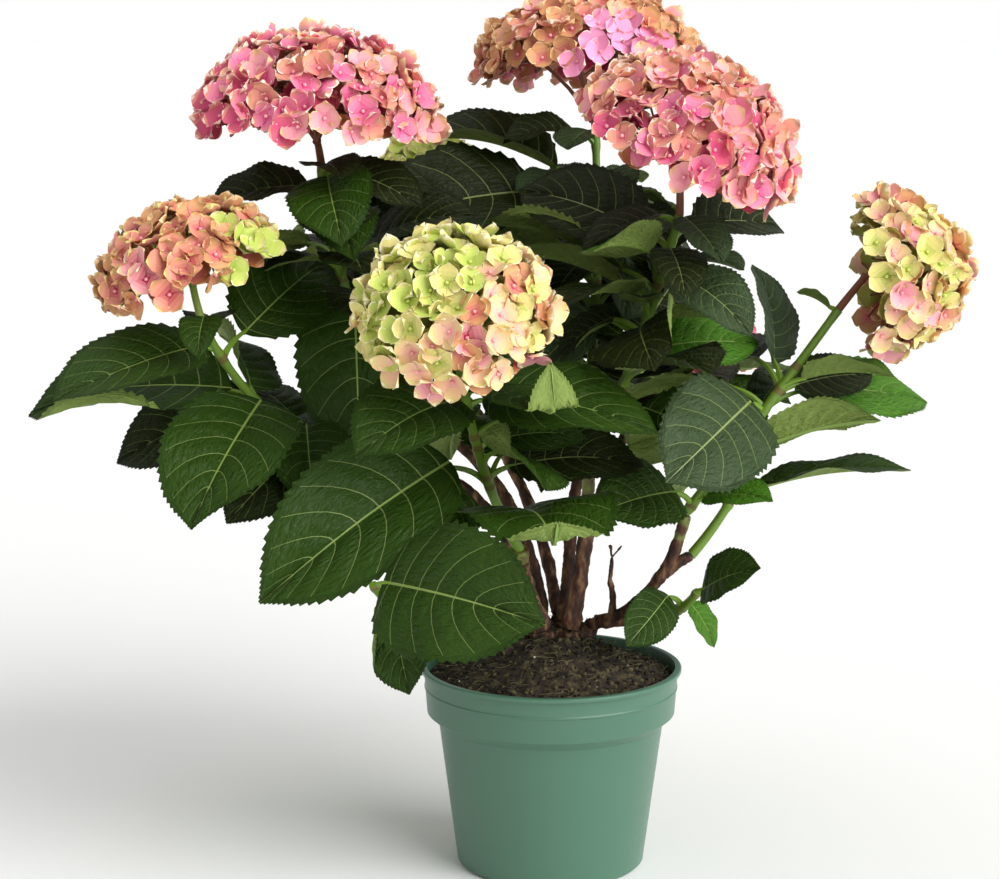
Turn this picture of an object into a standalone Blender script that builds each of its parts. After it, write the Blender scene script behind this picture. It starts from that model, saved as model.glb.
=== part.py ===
"""Potted mophead hydrangea, in metres with +Z up.

The origin is the centre of the pot's flat underside. Woody canes rise from a crown on the soil,
each cane ends at a leafy shoot, and eight of the shoots carry a domed flower head.
"""

from collections import namedtuple
from math import cos, pi, radians, sin, sqrt

import bmesh
import bpy
import numpy as np
from mathutils.bvhtree import BVHTree

GAP = 0.0003
SEED = 7

# Pot: a tapered wall, a shoulder, and a wider band that ends in a rolled rim.
POT_HEIGHT = 0.163
RIM_RADIUS = 0.105
RIM_HEIGHT = 0.004
RIM_LIP = 0.0028
RIM_ROUND = 0.0008
BAND_RADIUS = 0.0998
BAND_BOTTOM = 0.126
SHOULDER_RADIUS = 0.0905
SHOULDER_TOP = 0.118
BASE_RADIUS = 0.0755
FOOT_ROUND = 0.003
WALL = 0.0022
FLOOR = 0.0035
DRAIN_HOLES = 6
DRAIN_RADIUS = 0.0045
DRAIN_RING = 0.051
DRAIN_SIDES = 8
POT_SIDES = 36

# Soil: fills the pot and rises to a flat pad under the crown.
SOIL_EDGE = 0.153
SOIL_TOP = 0.165
PAD_RADIUS = 0.046
SOIL_ROUGHNESS = 0.0022

# Crown: the flared woody foot that every cane grows from.
CROWN = np.array((0.006, 0.020, SOIL_TOP + GAP))
CROWN_RADIUS = 0.040
CROWN_HEIGHT = 0.012
CANE_FOOT = 0.190
STUB_FLARE = 1.2
# Each cane starts this share of the way from the middle of the crown to its own foot.
ROOT_SHARE = 0.7
LIMB_PLACES = 8

# Cane: offset of the foot from the crown, bend, tip, radius at the foot and at the tip.
Cane = namedtuple("Cane", "foot bend tip foot_radius tip_radius")
CANES = {
    "cane_front": Cane(
        (-0.013, -0.012), (-0.024, 0.002, 0.225), (-0.026, -0.018, 0.262), 0.0105, 0.0070
    ),
    "cane_low_front": Cane(
        (-0.034, -0.001), (-0.066, -0.024, 0.215), (-0.098, -0.070, 0.240), 0.0060, 0.0044
    ),
    "cane_middle": Cane((0.009, -0.012), (0.028, 0.006, 0.245), (0.030, 0.000, 0.325), 0.0085, 0.0056),
    "cane_right": Cane((0.025, 0.002), (0.092, -0.004, 0.210), (0.106, -0.008, 0.288), 0.0078, 0.0052),
    "cane_low_right": Cane(
        (0.030, 0.017), (0.076, 0.044, 0.186), (0.098, 0.026, 0.200), 0.0062, 0.0050
    ),
    "cane_left": Cane((-0.024, 0.014), (-0.022, 0.032, 0.285), (-0.110, 0.012, 0.330), 0.0070, 0.0046),
    "cane_upper_left": Cane(
        (-0.012, 0.026), (-0.018, 0.055, 0.300), (-0.100, 0.045, 0.355), 0.0065, 0.0046
    ),
    "cane_top": Cane((0.004, 0.011), (0.018, 0.050, 0.270), (0.030, 0.064, 0.360), 0.0062, 0.0048),
    "cane_back_left": Cane(
        (0.001, 0.035), (-0.006, 0.100, 0.285), (-0.070, 0.155, 0.355), 0.0060, 0.0045
    ),
    "cane_back_right": Cane(
        (0.016, 0.030), (0.030, 0.075, 0.290), (0.078, 0.145, 0.345), 0.0060, 0.0045
    ),
}
CANE_SIDES = 8

# Side stub: a short fork fused to a cane, with its place on the cane, its tip and its radii.
Stub = namedtuple("Stub", "cane place tip foot_radius tip_radius")
STUBS = {
    "dead_snag": Stub("cane_right", 0.26, (0.049, 0.010, 0.250), 0.0034, 0.0014),
    "right_fork": Stub("cane_right", 0.62, (0.112, 0.004, 0.252), 0.0050, 0.0042),
}

# Shoot: the cane or stub it grows on from, its bend and its tip. Its foot is the tip of that.
Shoot = namedtuple("Shoot", "carrier bend tip")
SHOOTS = {
    "shoot_front": Shoot("cane_front", (-0.057, -0.049, 0.319), (-0.072, -0.130, 0.430)),
    "shoot_low_front": Shoot("cane_low_front", (-0.110, -0.136, 0.222), (-0.134, -0.168, 0.268)),
    "shoot_left": Shoot("cane_left", (-0.217, -0.010, 0.325), (-0.266, -0.070, 0.446)),
    "shoot_upper_left": Shoot("cane_upper_left", (-0.175, 0.045, 0.428), (-0.181, 0.010, 0.565)),
    "shoot_middle": Shoot("cane_middle", (0.072, -0.014, 0.426), (0.095, -0.060, 0.530)),
    "shoot_top": Shoot("cane_top", (0.042, 0.092, 0.462), (0.037, 0.104, 0.585)),
    "shoot_right": Shoot("cane_right", (0.146, -0.024, 0.346), (0.221, -0.030, 0.454)),
    "shoot_low_right": Shoot("right_fork", (0.136, 0.010, 0.278), (0.156, 0.010, 0.318)),
    "shoot_right_foot": Shoot("cane_low_right", (0.108, 0.008, 0.206), (0.116, -0.014, 0.226)),
    "shoot_back_left": Shoot("cane_back_left", (-0.105, 0.205, 0.400), (-0.099, 0.215, 0.490)),
    "shoot_back_right": Shoot("cane_back_right", (0.104, 0.195, 0.345), (0.122, 0.224, 0.352)),
}
SHOOT_RADIUS = 0.0042
SHOOT_TAPER = 0.75
SHOOT_SIDES = 6

# Leaf: shoot, place on its stem, heading, rise, roll (degrees), blade length, leafstalk length.
Leaf = namedtuple("Leaf", "shoot place heading rise roll length stalk")
LEAVES = [
    Leaf("shoot_front", 0.18, -145, -8, -35, 0.082, 0.030),
    Leaf("shoot_front", 0.15, -76, 3, 4, 0.135, 0.036),
    Leaf("shoot_front", 0.40, -148, -28, -45, 0.184, 0.045),
    Leaf("shoot_front", 0.45, 2, 3, 32, 0.105, 0.020),
    Leaf("shoot_front", 0.80, -130, -12, -25, 0.110, 0.015),
    Leaf("shoot_front", 0.80, -16, -7, 28, 0.136, 0.015),
    Leaf("shoot_low_front", 0.97, -41, -2, 58, 0.150, 0.010),
    Leaf("shoot_low_front", 0.74, -74, -54, 30, 0.076, 0.014),
    Leaf("shoot_left", 0.90, -148, -17, -20, 0.128, 0.015),
    Leaf("shoot_left", 0.88, 55, 26, 36, 0.118, 0.030),
    Leaf("shoot_left", 0.60, -108, -30, -15, 0.150, 0.030),
    Leaf("shoot_left", 0.60, 176, -5, -25, 0.165, 0.040),
    Leaf("shoot_left", 0.30, -125, -25, -35, 0.120, 0.030),
    Leaf("shoot_left", 0.45, -177, -20, -35, 0.120, 0.045),
    Leaf("shoot_upper_left", 0.90, -177, -10, -25, 0.080, 0.015),
    Leaf("shoot_upper_left", 0.90, 18, -5, 20, 0.078, 0.020),
    Leaf("shoot_upper_left", 0.74, -80, 4, 8, 0.100, 0.020),
    Leaf("shoot_upper_left", 0.50, -85, -66, 0, 0.135, 0.025),
    Leaf("shoot_middle", 0.86, 157, 18, -40, 0.112, 0.022),
    Leaf("shoot_middle", 0.90, 25, -2, 35, 0.085, 0.020),
    Leaf("shoot_middle", 0.72, -39, -27, 25, 0.080, 0.020),
    Leaf("shoot_middle", 0.50, 172, -45, -50, 0.095, 0.040),
    Leaf("shoot_middle", 0.55, -20, -3, -10, 0.068, 0.020),
    Leaf("shoot_middle", 0.42, 5, 3, 40, 0.085, 0.020),
    Leaf("shoot_top", 0.78, 172, 16, -12, 0.120, 0.040),
    Leaf("shoot_top", 0.95, -161, -6, -20, 0.060, 0.025),
    Leaf("shoot_top", 0.66, -165, -10, -38, 0.155, 0.060),
    Leaf("shoot_right", 0.58, -128, -22, -48, 0.128, 0.020),
    Leaf("shoot_right", 0.52, 22, -8, 30, 0.122, 0.045),
    Leaf("shoot_right", 0.66, -22, 6, -12, 0.074, 0.025),
    Leaf("shoot_right", 0.70, 103, 63, 45, 0.086, 0.025),
    Leaf("shoot_right", 0.25, -14, 17, -50, 0.100, 0.040),
    Leaf("shoot_right", 0.06, -134, -2, -45, 0.092, 0.025),
    Leaf("shoot_right", 0.06, -38, 6, 25, 0.062, 0.015),
    Leaf("shoot_low_right", 0.65, 4, 7, -6, 0.132, 0.020),
    Leaf("shoot_right_foot", 0.42, -130, -30, -52, 0.062, 0.024),
    Leaf("shoot_right_foot", 0.94, -48, 26, 55, 0.066, 0.008),
    Leaf("shoot_right_foot", 0.25, -12, -60, 25, 0.042, 0.012),
]
LIMB_MARGIN = 1.15
DOME_MARGIN = 1.02
BLADE_MARGIN = 1.6
BLADE_WIDTH = 0.68
BLADE_THICKNESS = 0.0020
BLADE_FOLD = 12
BLADE_ARCH = 0.055
STALK_RISE = 35
STALK_RADIUS = 0.0020
STALK_SIDES = 3
STALK_TAPER = 0.8
STALK_SINK = 0.05
# Places along the blade, and the share of the full width there.
BLADE_STATIONS = ((0.0, 0.16), (0.24, 0.94), (0.62, 0.82))

# Leaf pairs that face each other, turned a quarter from node to node: shoot, first heading, nodes.
PAIRS = {
    "shoot_back_left": (60, (0.20, 0.45, 0.70, 0.95)),
    "shoot_back_right": (100, (0.15, 0.45, 0.75, 0.95)),
    "shoot_top": (75, (0.15, 0.38)),
    "shoot_middle": (70, (0.25,)),
    "shoot_upper_left": (100, (0.15, 0.34, 0.62)),
    "shoot_left": (60, (0.12,)),
}
PAIR_LENGTH = 0.130
PAIR_STALK = 0.030
PAIR_SHRINK = 0.25
PAIR_RISE = (-8, 12)

# Filling leaves: how many each shoot has room for, and the stretch of its stem that they sit on.
FILL = {
    "shoot_front": (4, 0.35, 0.85),
    "shoot_left": (6, 0.10, 0.80),
    "shoot_upper_left": (12, 0.12, 0.95),
    "shoot_middle": (11, 0.12, 0.95),
    "shoot_top": (12, 0.08, 0.95),
    "shoot_right": (8, 0.30, 0.80),
    "shoot_low_right": (2, 0.50, 1.00),
    "shoot_back_left": (9, 0.10, 0.95),
    "shoot_back_right": (9, 0.10, 0.95),
}
FILL_TRIES = 160
GOLDEN_ANGLE = 137.5
FILL_LENGTH = (0.085, 0.125)
FILL_STALK = (0.018, 0.040)
FILL_RISE = (-38, 20)
FILL_ROLL = (-35, 35)
# Filling leaves keep inside this rounded crown and out of these boxes of open air.
CROWN_CENTRE = np.array((-0.020, 0.045, 0.405))
CROWN_REACH = np.array((0.300, 0.260, 0.180))
OPEN_AIR = (
    ((-0.030, -0.300, 0.160), (0.170, 0.040, 0.300)),
    ((-0.245, -0.300, 0.385), (-0.190, 0.300, 0.455)),
    ((0.150, -0.300, 0.430), (0.220, 0.300, 0.560)),
)

# Flower head: the shoot under it, centre, heading and rise of its axis, radius, height, florets.
Bloom = namedtuple("Bloom", "shoot centre heading rise radius height florets petals")
BLOOMS = {
    "bloom_upper_left": Bloom(
        "shoot_upper_left", (-0.183, 0.000, 0.590), 0, 88, 0.102, 0.081, 25, "petal_rose"
    ),
    "bloom_top": Bloom("shoot_top", (0.033, 0.128, 0.632), 110, 84, 0.098, 0.070, 24, "petal_peach"),
    "bloom_top_right": Bloom(
        "shoot_middle", (0.095, -0.080, 0.575), -40, 58, 0.092, 0.076, 24, "petal_rose"
    ),
    "bloom_left": Bloom(
        "shoot_left", (-0.277, -0.060, 0.484), 205, 68, 0.074, 0.055, 17, "petal_peach"
    ),
    "bloom_centre": Bloom(
        "shoot_front", (-0.074, -0.150, 0.462), -92, 48, 0.076, 0.060, 17, "petal_lime"
    ),
    "bloom_right": Bloom("shoot_right", (0.250, -0.022, 0.480), 0, 6, 0.065, 0.075, 16, "petal_cream"),
    "bloom_back_left": Bloom(
        "shoot_back_left", (-0.099, 0.222, 0.528), 80, 72, 0.056, 0.045, 11, "petal_lime"
    ),
    "bloom_back_right": Bloom(
        "shoot_back_right", (0.134, 0.252, 0.386), 60, 55, 0.053, 0.043, 11, "petal_rose"
    ),
}
BLOOM_EDGE = 98
FLORET_EDGE = 93
FLORET_SHARE = 0.965
FLORET_SPACING = 1.02
FLORET_CUP = 0.16
PIN_EDGE = 91
PIN_DEPTH = 0.8
PETALS = 4
SHELL = 0.84
SHELL_THICKNESS = 0.006
SHELL_SIDES = 14
SHELL_RINGS = (25, 49, 72, 94)
HEART_DEPTH = 0.10
BRANCHES = 5
BRANCH_POLE = 50
BRANCH_DEPTH = 0.3
BRANCH_RADIUS = 0.0022

COLOURS = {
    "pot_green": ((0.105, 0.260, 0.195), 0.38),
    "potting_soil": ((0.030, 0.019, 0.012), 0.95),
    "cane_bark": ((0.150, 0.075, 0.042), 0.85),
    "leaf_green": ((0.022, 0.085, 0.020), 0.50),
    "petal_rose": ((0.800, 0.190, 0.290), 0.60),
    "petal_peach": ((0.720, 0.340, 0.250), 0.60),
    "petal_lime": ((0.640, 0.640, 0.230), 0.60),
    "petal_cream": ((0.800, 0.620, 0.310), 0.60),
}


def unit(vector):
    return vector / np.linalg.norm(vector)


def direction(heading, rise):
    """The unit vector of a compass heading (0 is +X, 90 is +Y) and a rise above level, in degrees."""
    h = radians(heading)
    r = radians(rise)
    return np.array((cos(r) * cos(h), cos(r) * sin(h), sin(r)))


def bend_point(foot, bend, tip, place):
    """The point at a place from 0 to 1 along a limb that leaves its foot towards the bend."""
    foot, bend, tip = np.array(foot), np.array(bend), np.array(tip)
    return (1 - place) ** 2 * foot + 2 * place * (1 - place) * bend + place**2 * tip


def material(name):
    found = bpy.data.materials.get(name)
    if found:
        return found
    colour, roughness = COLOURS[name]
    made = bpy.data.materials.new(name)
    made.use_nodes = True
    shader = made.node_tree.nodes["Principled BSDF"]
    shader.inputs["Base Color"].default_value = (*colour, 1)
    shader.inputs["Roughness"].default_value = roughness
    shader.inputs["Metallic"].default_value = 0
    made.diffuse_color = (*colour, 1)
    return made


def mesh_object(name, shape, material_name):
    """An object from (points, faces), with its faces turned outwards."""
    points, faces = shape
    mesh = bpy.data.meshes.new(name)
    mesh.from_pydata([tuple(map(float, point)) for point in points], [], faces)
    made = bpy.data.objects.new(name, mesh)
    bpy.context.scene.collection.objects.link(made)
    mesh.materials.append(material(material_name))
    turn_outwards(mesh)
    return made


def turn_outwards(mesh):
    shape = bmesh.new()
    shape.from_mesh(mesh)
    bmesh.ops.recalc_face_normals(shape, faces=shape.faces)
    if shape.calc_volume(signed=True) < 0:
        bmesh.ops.reverse_faces(shape, faces=shape.faces)
    shape.to_mesh(mesh)
    shape.free()


def shade(made, angle=40):
    made.data.shade_smooth()
    made.data.set_sharp_from_angle(angle=radians(angle))


def island_sizes(shape):
    """The faces of each loose island of a bmesh, with the island's volume."""
    seen = set()
    for first in shape.faces:
        if first in seen:
            continue
        island = []
        waiting = [first]
        seen.add(first)
        while waiting:
            face = waiting.pop()
            island.append(face)
            for edge in face.edges:
                fresh = [other for other in edge.link_faces if other not in seen]
                seen.update(fresh)
                waiting.extend(fresh)
        volume = 0
        for face in island:
            corners = [vertex.co for vertex in face.verts]
            for near, far in zip(corners[1:-1], corners[2:]):
                volume += corners[0].dot(near.cross(far)) / 6
        yield island, volume


def keep_main_body(mesh):
    """Drops loose scraps, and fills a sealed hollow by dropping its inner wall."""
    shape = bmesh.new()
    shape.from_mesh(mesh)
    islands = list(island_sizes(shape))
    main = max(volume for _, volume in islands)
    spare = [face for island, volume in islands if volume < main for face in island]
    bmesh.ops.delete(shape, geom=spare, context="FACES")
    loose = [vertex for vertex in shape.verts if not vertex.link_faces]
    bmesh.ops.delete(shape, geom=loose, context="VERTS")
    bmesh.ops.triangulate(shape, faces=shape.faces)
    shape.to_mesh(mesh)
    shape.free()


def fuse(name, shapes, material_name):
    """One solid from overlapping closed shapes, by one Boolean union on a collection."""
    whole = mesh_object(name, shapes[0], material_name)
    others = bpy.data.collections.new(name + "_pieces")
    bpy.context.scene.collection.children.link(others)
    for shape in shapes[1:]:
        piece = mesh_object(name + "_piece", shape, material_name)
        bpy.context.scene.collection.objects.unlink(piece)
        others.objects.link(piece)
    union = whole.modifiers.new("union", "BOOLEAN")
    union.operation = "UNION"
    union.solver = "EXACT"
    union.operand_type = "COLLECTION"
    union.collection = others
    bpy.context.view_layer.update()
    graph = bpy.context.evaluated_depsgraph_get()
    fused = bpy.data.meshes.new_from_object(whole.evaluated_get(graph))
    whole.modifiers.clear()
    whole.data = fused
    for piece in list(others.objects):
        bpy.data.objects.remove(piece)
    bpy.data.collections.remove(others)
    keep_main_body(fused)
    shade(whole)
    return whole


def tube(points, radii, sides, start_way=None, end_way=None):
    """A closed tube through the points, with a flat cap at each end that is square to its way."""
    points = [np.array(point, float) for point in points]
    last = len(points) - 1
    along = [unit(points[min(i + 1, last)] - points[max(i - 1, 0)]) for i in range(len(points))]
    if start_way is not None:
        along[0] = start_way
    if end_way is not None:
        along[-1] = end_way
    across = unit(np.cross(along[0], (0.31, 0.87, 0.39)))
    verts = []
    for point, way, radius in zip(points, along, radii):
        across = unit(across - way * np.dot(across, way))
        up = np.cross(way, across)
        for side in range(sides):
            angle = 2 * pi * side / sides
            verts.append(point + radius * (cos(angle) * across + sin(angle) * up))
    faces = [tuple(range(sides))]
    for ring in range(len(points) - 1):
        for side in range(sides):
            next_side = (side + 1) % sides
            low = ring * sides
            faces.append((low + side, low + next_side, low + sides + next_side, low + sides + side))
    faces.append(tuple(range(len(verts) - sides, len(verts))))
    return verts, faces


def lathe(profile, sides):
    """A closed turned solid from (radius, height) points that start and end on the axis."""
    verts = [np.array((0, 0, profile[0][1]))]
    for radius, height in profile[1:-1]:
        for side in range(sides):
            angle = 2 * pi * side / sides
            verts.append(np.array((radius * cos(angle), radius * sin(angle), height)))
    verts.append(np.array((0, 0, profile[-1][1])))
    last = len(verts) - 1
    rings = len(profile) - 2
    faces = []
    for side in range(sides):
        next_side = (side + 1) % sides
        faces.append((0, 1 + side, 1 + next_side))
        for ring in range(rings - 1):
            low = 1 + ring * sides
            faces.append((low + side, low + next_side, low + sides + next_side, low + sides + side))
        top = 1 + (rings - 1) * sides
        faces.append((top + side, top + next_side, last))
    return verts, faces


# Pot and soil


def outer_wall():
    """The pot's outer (radius, height) profile, from the foot to the rim."""
    return [
        (BASE_RADIUS - FOOT_ROUND, 0),
        (BASE_RADIUS, FOOT_ROUND),
        (SHOULDER_RADIUS, SHOULDER_TOP),
        (BAND_RADIUS, BAND_BOTTOM),
        (RIM_RADIUS - RIM_LIP, POT_HEIGHT - RIM_HEIGHT),
        (RIM_RADIUS, POT_HEIGHT - RIM_HEIGHT + RIM_ROUND),
        (RIM_RADIUS, POT_HEIGHT - RIM_ROUND),
        (RIM_RADIUS - RIM_ROUND, POT_HEIGHT),
    ]


def inner_wall():
    """The pot's inner profile, from the rim down to the floor."""
    return [
        (RIM_RADIUS - RIM_LIP - WALL, POT_HEIGHT),
        (BAND_RADIUS - WALL, BAND_BOTTOM + 0.001),
        (SHOULDER_RADIUS - WALL, SHOULDER_TOP + 0.001),
        (BASE_RADIUS - WALL, FLOOR + FOOT_ROUND),
        (BASE_RADIUS - WALL - FOOT_ROUND, FLOOR),
    ]


def wall_radius(height):
    profile = sorted((z, r) for r, z in inner_wall())
    return float(np.interp(height, [z for z, _ in profile], [r for _, r in profile]))


def make_pot():
    profile = [(0, 0), *outer_wall(), *inner_wall(), (0, FLOOR)]
    pot = mesh_object("pot", lathe(profile, POT_SIDES), "pot_green")
    drains = []
    for hole in range(DRAIN_HOLES):
        x, y, _ = DRAIN_RING * direction(360 * hole / DRAIN_HOLES + 20, 0)
        drain = tube([(x, y, -FLOOR), (x, y, 2 * FLOOR)], [DRAIN_RADIUS] * 2, DRAIN_SIDES)
        cutter = mesh_object(f"drain_cutter_{hole}", drain, "pot_green")
        cut = pot.modifiers.new(cutter.name, "BOOLEAN")
        cut.operation = "DIFFERENCE"
        cut.object = cutter
        drains.append(cutter)
    bpy.context.view_layer.update()
    graph = bpy.context.evaluated_depsgraph_get()
    pot.data = bpy.data.meshes.new_from_object(pot.evaluated_get(graph))
    pot.modifiers.clear()
    for cutter in drains:
        bpy.data.objects.remove(cutter)
    shade(pot, 30)


def make_soil(random):
    side = [(radius - GAP, height + GAP) for radius, height in reversed(inner_wall()[1:])]
    edge = wall_radius(SOIL_EDGE) - GAP
    profile = [(0, FLOOR + GAP), *side, (edge, SOIL_EDGE)]
    first_top = len(profile)
    for share in (0.80, 0.60):
        rise = (1 - share) / (1 - PAD_RADIUS / edge)
        profile.append((edge * share, SOIL_EDGE + (SOIL_TOP - SOIL_EDGE) * min(1, rise)))
    profile += [(PAD_RADIUS, SOIL_TOP), (0, SOIL_TOP)]
    verts, faces = lathe(profile, POT_SIDES)
    for ring in (first_top, first_top + 1):
        for spot in range(POT_SIDES):
            verts[1 + (ring - 1) * POT_SIDES + spot][2] += SOIL_ROUGHNESS * random.uniform(-1, 1)
    shade(mesh_object("soil", (verts, faces), "potting_soil"), 60)


# Canes


def cane_foot(cane):
    return np.array((CROWN[0] + cane.foot[0], CROWN[1] + cane.foot[1], CANE_FOOT))


def cane_point(cane, place):
    return bend_point(cane_foot(cane), cane.bend, cane.tip, place)


def carrier_end(name):
    """Tip, outward direction and tip radius of the cane or stub that a shoot grows on from."""
    if name in CANES:
        cane = CANES[name]
        return np.array(cane.tip), unit(np.array(cane.tip) - cane.bend), cane.tip_radius
    stub = STUBS[name]
    foot = cane_point(CANES[stub.cane], stub.place)
    return np.array(stub.tip), unit(np.array(stub.tip) - foot), stub.tip_radius


def cane_tube(cane, swell=1):
    places = np.linspace(0, 1, LIMB_PLACES)
    points = [cane_point(cane, place) for place in places]
    taper = cane.tip_radius - cane.foot_radius
    return tube(points, [swell * (cane.foot_radius + taper * place) for place in places], CANE_SIDES)


def make_crown():
    x, y, base = CROWN
    heights = [base, base + 0.35 * CROWN_HEIGHT, base + CROWN_HEIGHT]
    radii = [CROWN_RADIUS, 0.9 * CROWN_RADIUS, 0.7 * CROWN_RADIUS]
    shapes = [tube([(x, y, height) for height in heights], radii, 2 * CANE_SIDES)]
    for cane in CANES.values():
        foot = cane_foot(cane)
        way = unit(cane_point(cane, 1 / (LIMB_PLACES - 1)) - foot)
        root = np.array((x, y, base)) + ROOT_SHARE * (foot - (x, y, 0))
        root[2] = base + 0.3 * CROWN_HEIGHT
        radii = [STUB_FLARE * cane.foot_radius, cane.foot_radius]
        shapes.append(tube([root, foot - way * GAP], radii, CANE_SIDES, end_way=way))
    fuse("root_crown", shapes, "cane_bark")


def make_canes():
    for name, cane in CANES.items():
        shapes = [cane_tube(cane)]
        for stub in STUBS.values():
            if stub.cane == name:
                root = cane_point(cane, stub.place)
                radii = [stub.foot_radius, stub.tip_radius]
                shapes.append(tube([root, stub.tip], radii, CANE_SIDES - 2))
        if len(shapes) > 1:
            fuse(name, shapes, "cane_bark")
        else:
            shade(mesh_object(name, shapes[0], "cane_bark"))


# Leafy shoots


def shoot_foot(shoot):
    """The shoot's foot, clear of the end of its cane."""
    tip, way, _ = carrier_end(shoot.carrier)
    return tip + way * GAP


def shoot_point(shoot, place):
    return bend_point(shoot_foot(shoot), shoot.bend, shoot.tip, place)


def shoot_stem(shoot):
    """The stem's tube. Its first ring is square to the end of its cane."""
    _, way, cane_radius = carrier_end(shoot.carrier)
    places = np.linspace(0, 1, LIMB_PLACES)
    points = [shoot_point(shoot, place) for place in places]
    radii = [min(SHOOT_RADIUS, cane_radius) * (1 - (1 - SHOOT_TAPER) * place) for place in places]
    return tube(points, radii, SHOOT_SIDES, way)


def leaf_axes(leaf):
    """Unit vectors along the blade, across it to the left, and out of its upper face."""
    along = direction(leaf.heading, leaf.rise)
    level = direction(leaf.heading + 90, 0)
    up = np.cross(along, level)
    roll = radians(leaf.roll)
    return along, cos(roll) * level + sin(roll) * up, cos(roll) * up - sin(roll) * level


def leaf_base(leaf):
    root = shoot_point(SHOOTS[leaf.shoot], leaf.place)
    return root + leaf.stalk * direction(leaf.heading, STALK_RISE)


def blade(leaf, thickness):
    """A thin blade of four-point sections: left edge, upper face, right edge, lower face."""
    base = leaf_base(leaf)
    along, left, up = leaf_axes(leaf)
    verts = []
    for place, share in BLADE_STATIONS:
        middle = base + leaf.length * (along * place + up * 4 * BLADE_ARCH * place * (1 - place))
        half = 0.5 * BLADE_WIDTH * leaf.length * share
        edge = middle + up * half * sin(radians(BLADE_FOLD))
        thick = up * 0.5 * thickness
        verts += [edge + left * half, middle + thick, edge - left * half, middle - thick]
    verts.append(base + along * leaf.length)
    tip = len(verts) - 1
    faces = [(0, 1, 2, 3)]
    for station in range(len(BLADE_STATIONS) - 1):
        for corner in range(4):
            low = 4 * station + corner
            after = 4 * station + (corner + 1) % 4
            faces += [(low, after, after + 4), (low, after + 4, low + 4)]
    for corner in range(4):
        faces.append((tip - 4 + corner, tip - 4 + (corner + 1) % 4, tip))
    return verts, faces


def stalk(leaf):
    """The leafstalk, sunk into the stem at one end and into the blade at the other."""
    along, _, _ = leaf_axes(leaf)
    root = shoot_point(SHOOTS[leaf.shoot], leaf.place)
    end = leaf_base(leaf) + along * STALK_SINK * leaf.length
    return tube([root, end], [STALK_RADIUS, STALK_TAPER * STALK_RADIUS], STALK_SIDES)


def paired_leaves():
    """Facing pairs of leaves, each pair turned a quarter from the one below and a little shorter."""
    for name, (heading, places) in PAIRS.items():
        for node, place in enumerate(places):
            for half in (0, 180):
                turned = heading + 90 * node + half
                rise = np.interp(place, (0, 1), PAIR_RISE)
                length = PAIR_LENGTH * (1 - PAIR_SHRINK * place)
                yield Leaf(name, place, turned, rise, 0, length, PAIR_STALK)


def filling_leaves(name, random):
    """Leaves to try on one shoot, dealt round its stem by the golden angle."""
    _, low, high = FILL[name]
    for turn in range(FILL_TRIES):
        yield Leaf(
            name,
            random.uniform(low, high),
            GOLDEN_ANGLE * turn,
            random.uniform(*FILL_RISE),
            random.uniform(*FILL_ROLL),
            random.uniform(*FILL_LENGTH),
            random.uniform(*FILL_STALK),
        )


def in_crown(points):
    """True when the points stay inside the rounded crown and out of the open air."""
    points = np.array(points)
    if (np.linalg.norm((points - CROWN_CENTRE) / CROWN_REACH, axis=1) > 1).any():
        return False
    for low, high in OPEN_AIR:
        if ((points > low) & (points < high)).all(axis=1).any():
            return False
    return True


def tree_of(shape):
    return BVHTree.FromPolygons([tuple(point) for point in shape[0]], shape[1])


class Space:
    """The room that stems, canes, flower heads and leaves already take up."""

    def __init__(self):
        self.stems = {name: tree_of(shoot_stem(shoot)) for name, shoot in SHOOTS.items()}
        self.fixed = [tree_of(cane_tube(cane, LIMB_MARGIN)) for cane in CANES.values()]
        self.fixed += [tree_of(dome(bloom, DOME_MARGIN)) for bloom in BLOOMS.values()]
        self.fixed += [tree_of(flower_stalk(bloom)) for bloom in BLOOMS.values()]
        self.leaves = []

    def take(self, leaf):
        """Adds the leaf and returns True, or returns False where it would touch something."""
        body = tree_of(blade(leaf, BLADE_MARGIN * BLADE_THICKNESS))
        foot = tree_of(stalk(leaf))
        other_stems = [tree for name, tree in self.stems.items() if name != leaf.shoot]
        other_leaves = [tree for name, tree in self.leaves if name != leaf.shoot]
        near = [*self.fixed, *self.stems.values(), *[tree for _, tree in self.leaves]]
        if any(body.overlap(tree) for tree in near):
            return False
        if any(foot.overlap(tree) for tree in [*self.fixed, *other_stems, *other_leaves]):
            return False
        self.leaves += [(leaf.shoot, body), (leaf.shoot, foot)]
        return True


def deal_leaves():
    """Gives each shoot the leaves that stay clear of every stem, cane, flower head and earlier leaf."""
    random = np.random.default_rng(SEED)
    space = Space()
    dealt = {name: [] for name in SHOOTS}
    for leaf in LEAVES:
        if space.take(leaf):
            dealt[leaf.shoot].append(leaf)
    for leaf in paired_leaves():
        if in_crown(blade(leaf, BLADE_THICKNESS)[0]) and space.take(leaf):
            dealt[leaf.shoot].append(leaf)
    for name, (wanted, _, _) in FILL.items():
        filled = 0
        for leaf in filling_leaves(name, random):
            if filled < wanted and in_crown(blade(leaf, BLADE_THICKNESS)[0]) and space.take(leaf):
                dealt[name].append(leaf)
                filled += 1
    return dealt


def make_shoots():
    for name, leaves in deal_leaves().items():
        shapes = [shoot_stem(SHOOTS[name])]
        for leaf in leaves:
            shapes.append(stalk(leaf))
            shapes.append(blade(leaf, BLADE_THICKNESS))
        fuse(name, shapes, "leaf_green")


# Flower heads


def bloom_axes(bloom):
    """Unit vectors along the head's axis and two ways across it."""
    axis = direction(bloom.heading, bloom.rise)
    across = unit(np.cross(axis, (0.29, -0.13, 0.41)))
    return axis, across, np.cross(axis, across)


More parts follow.
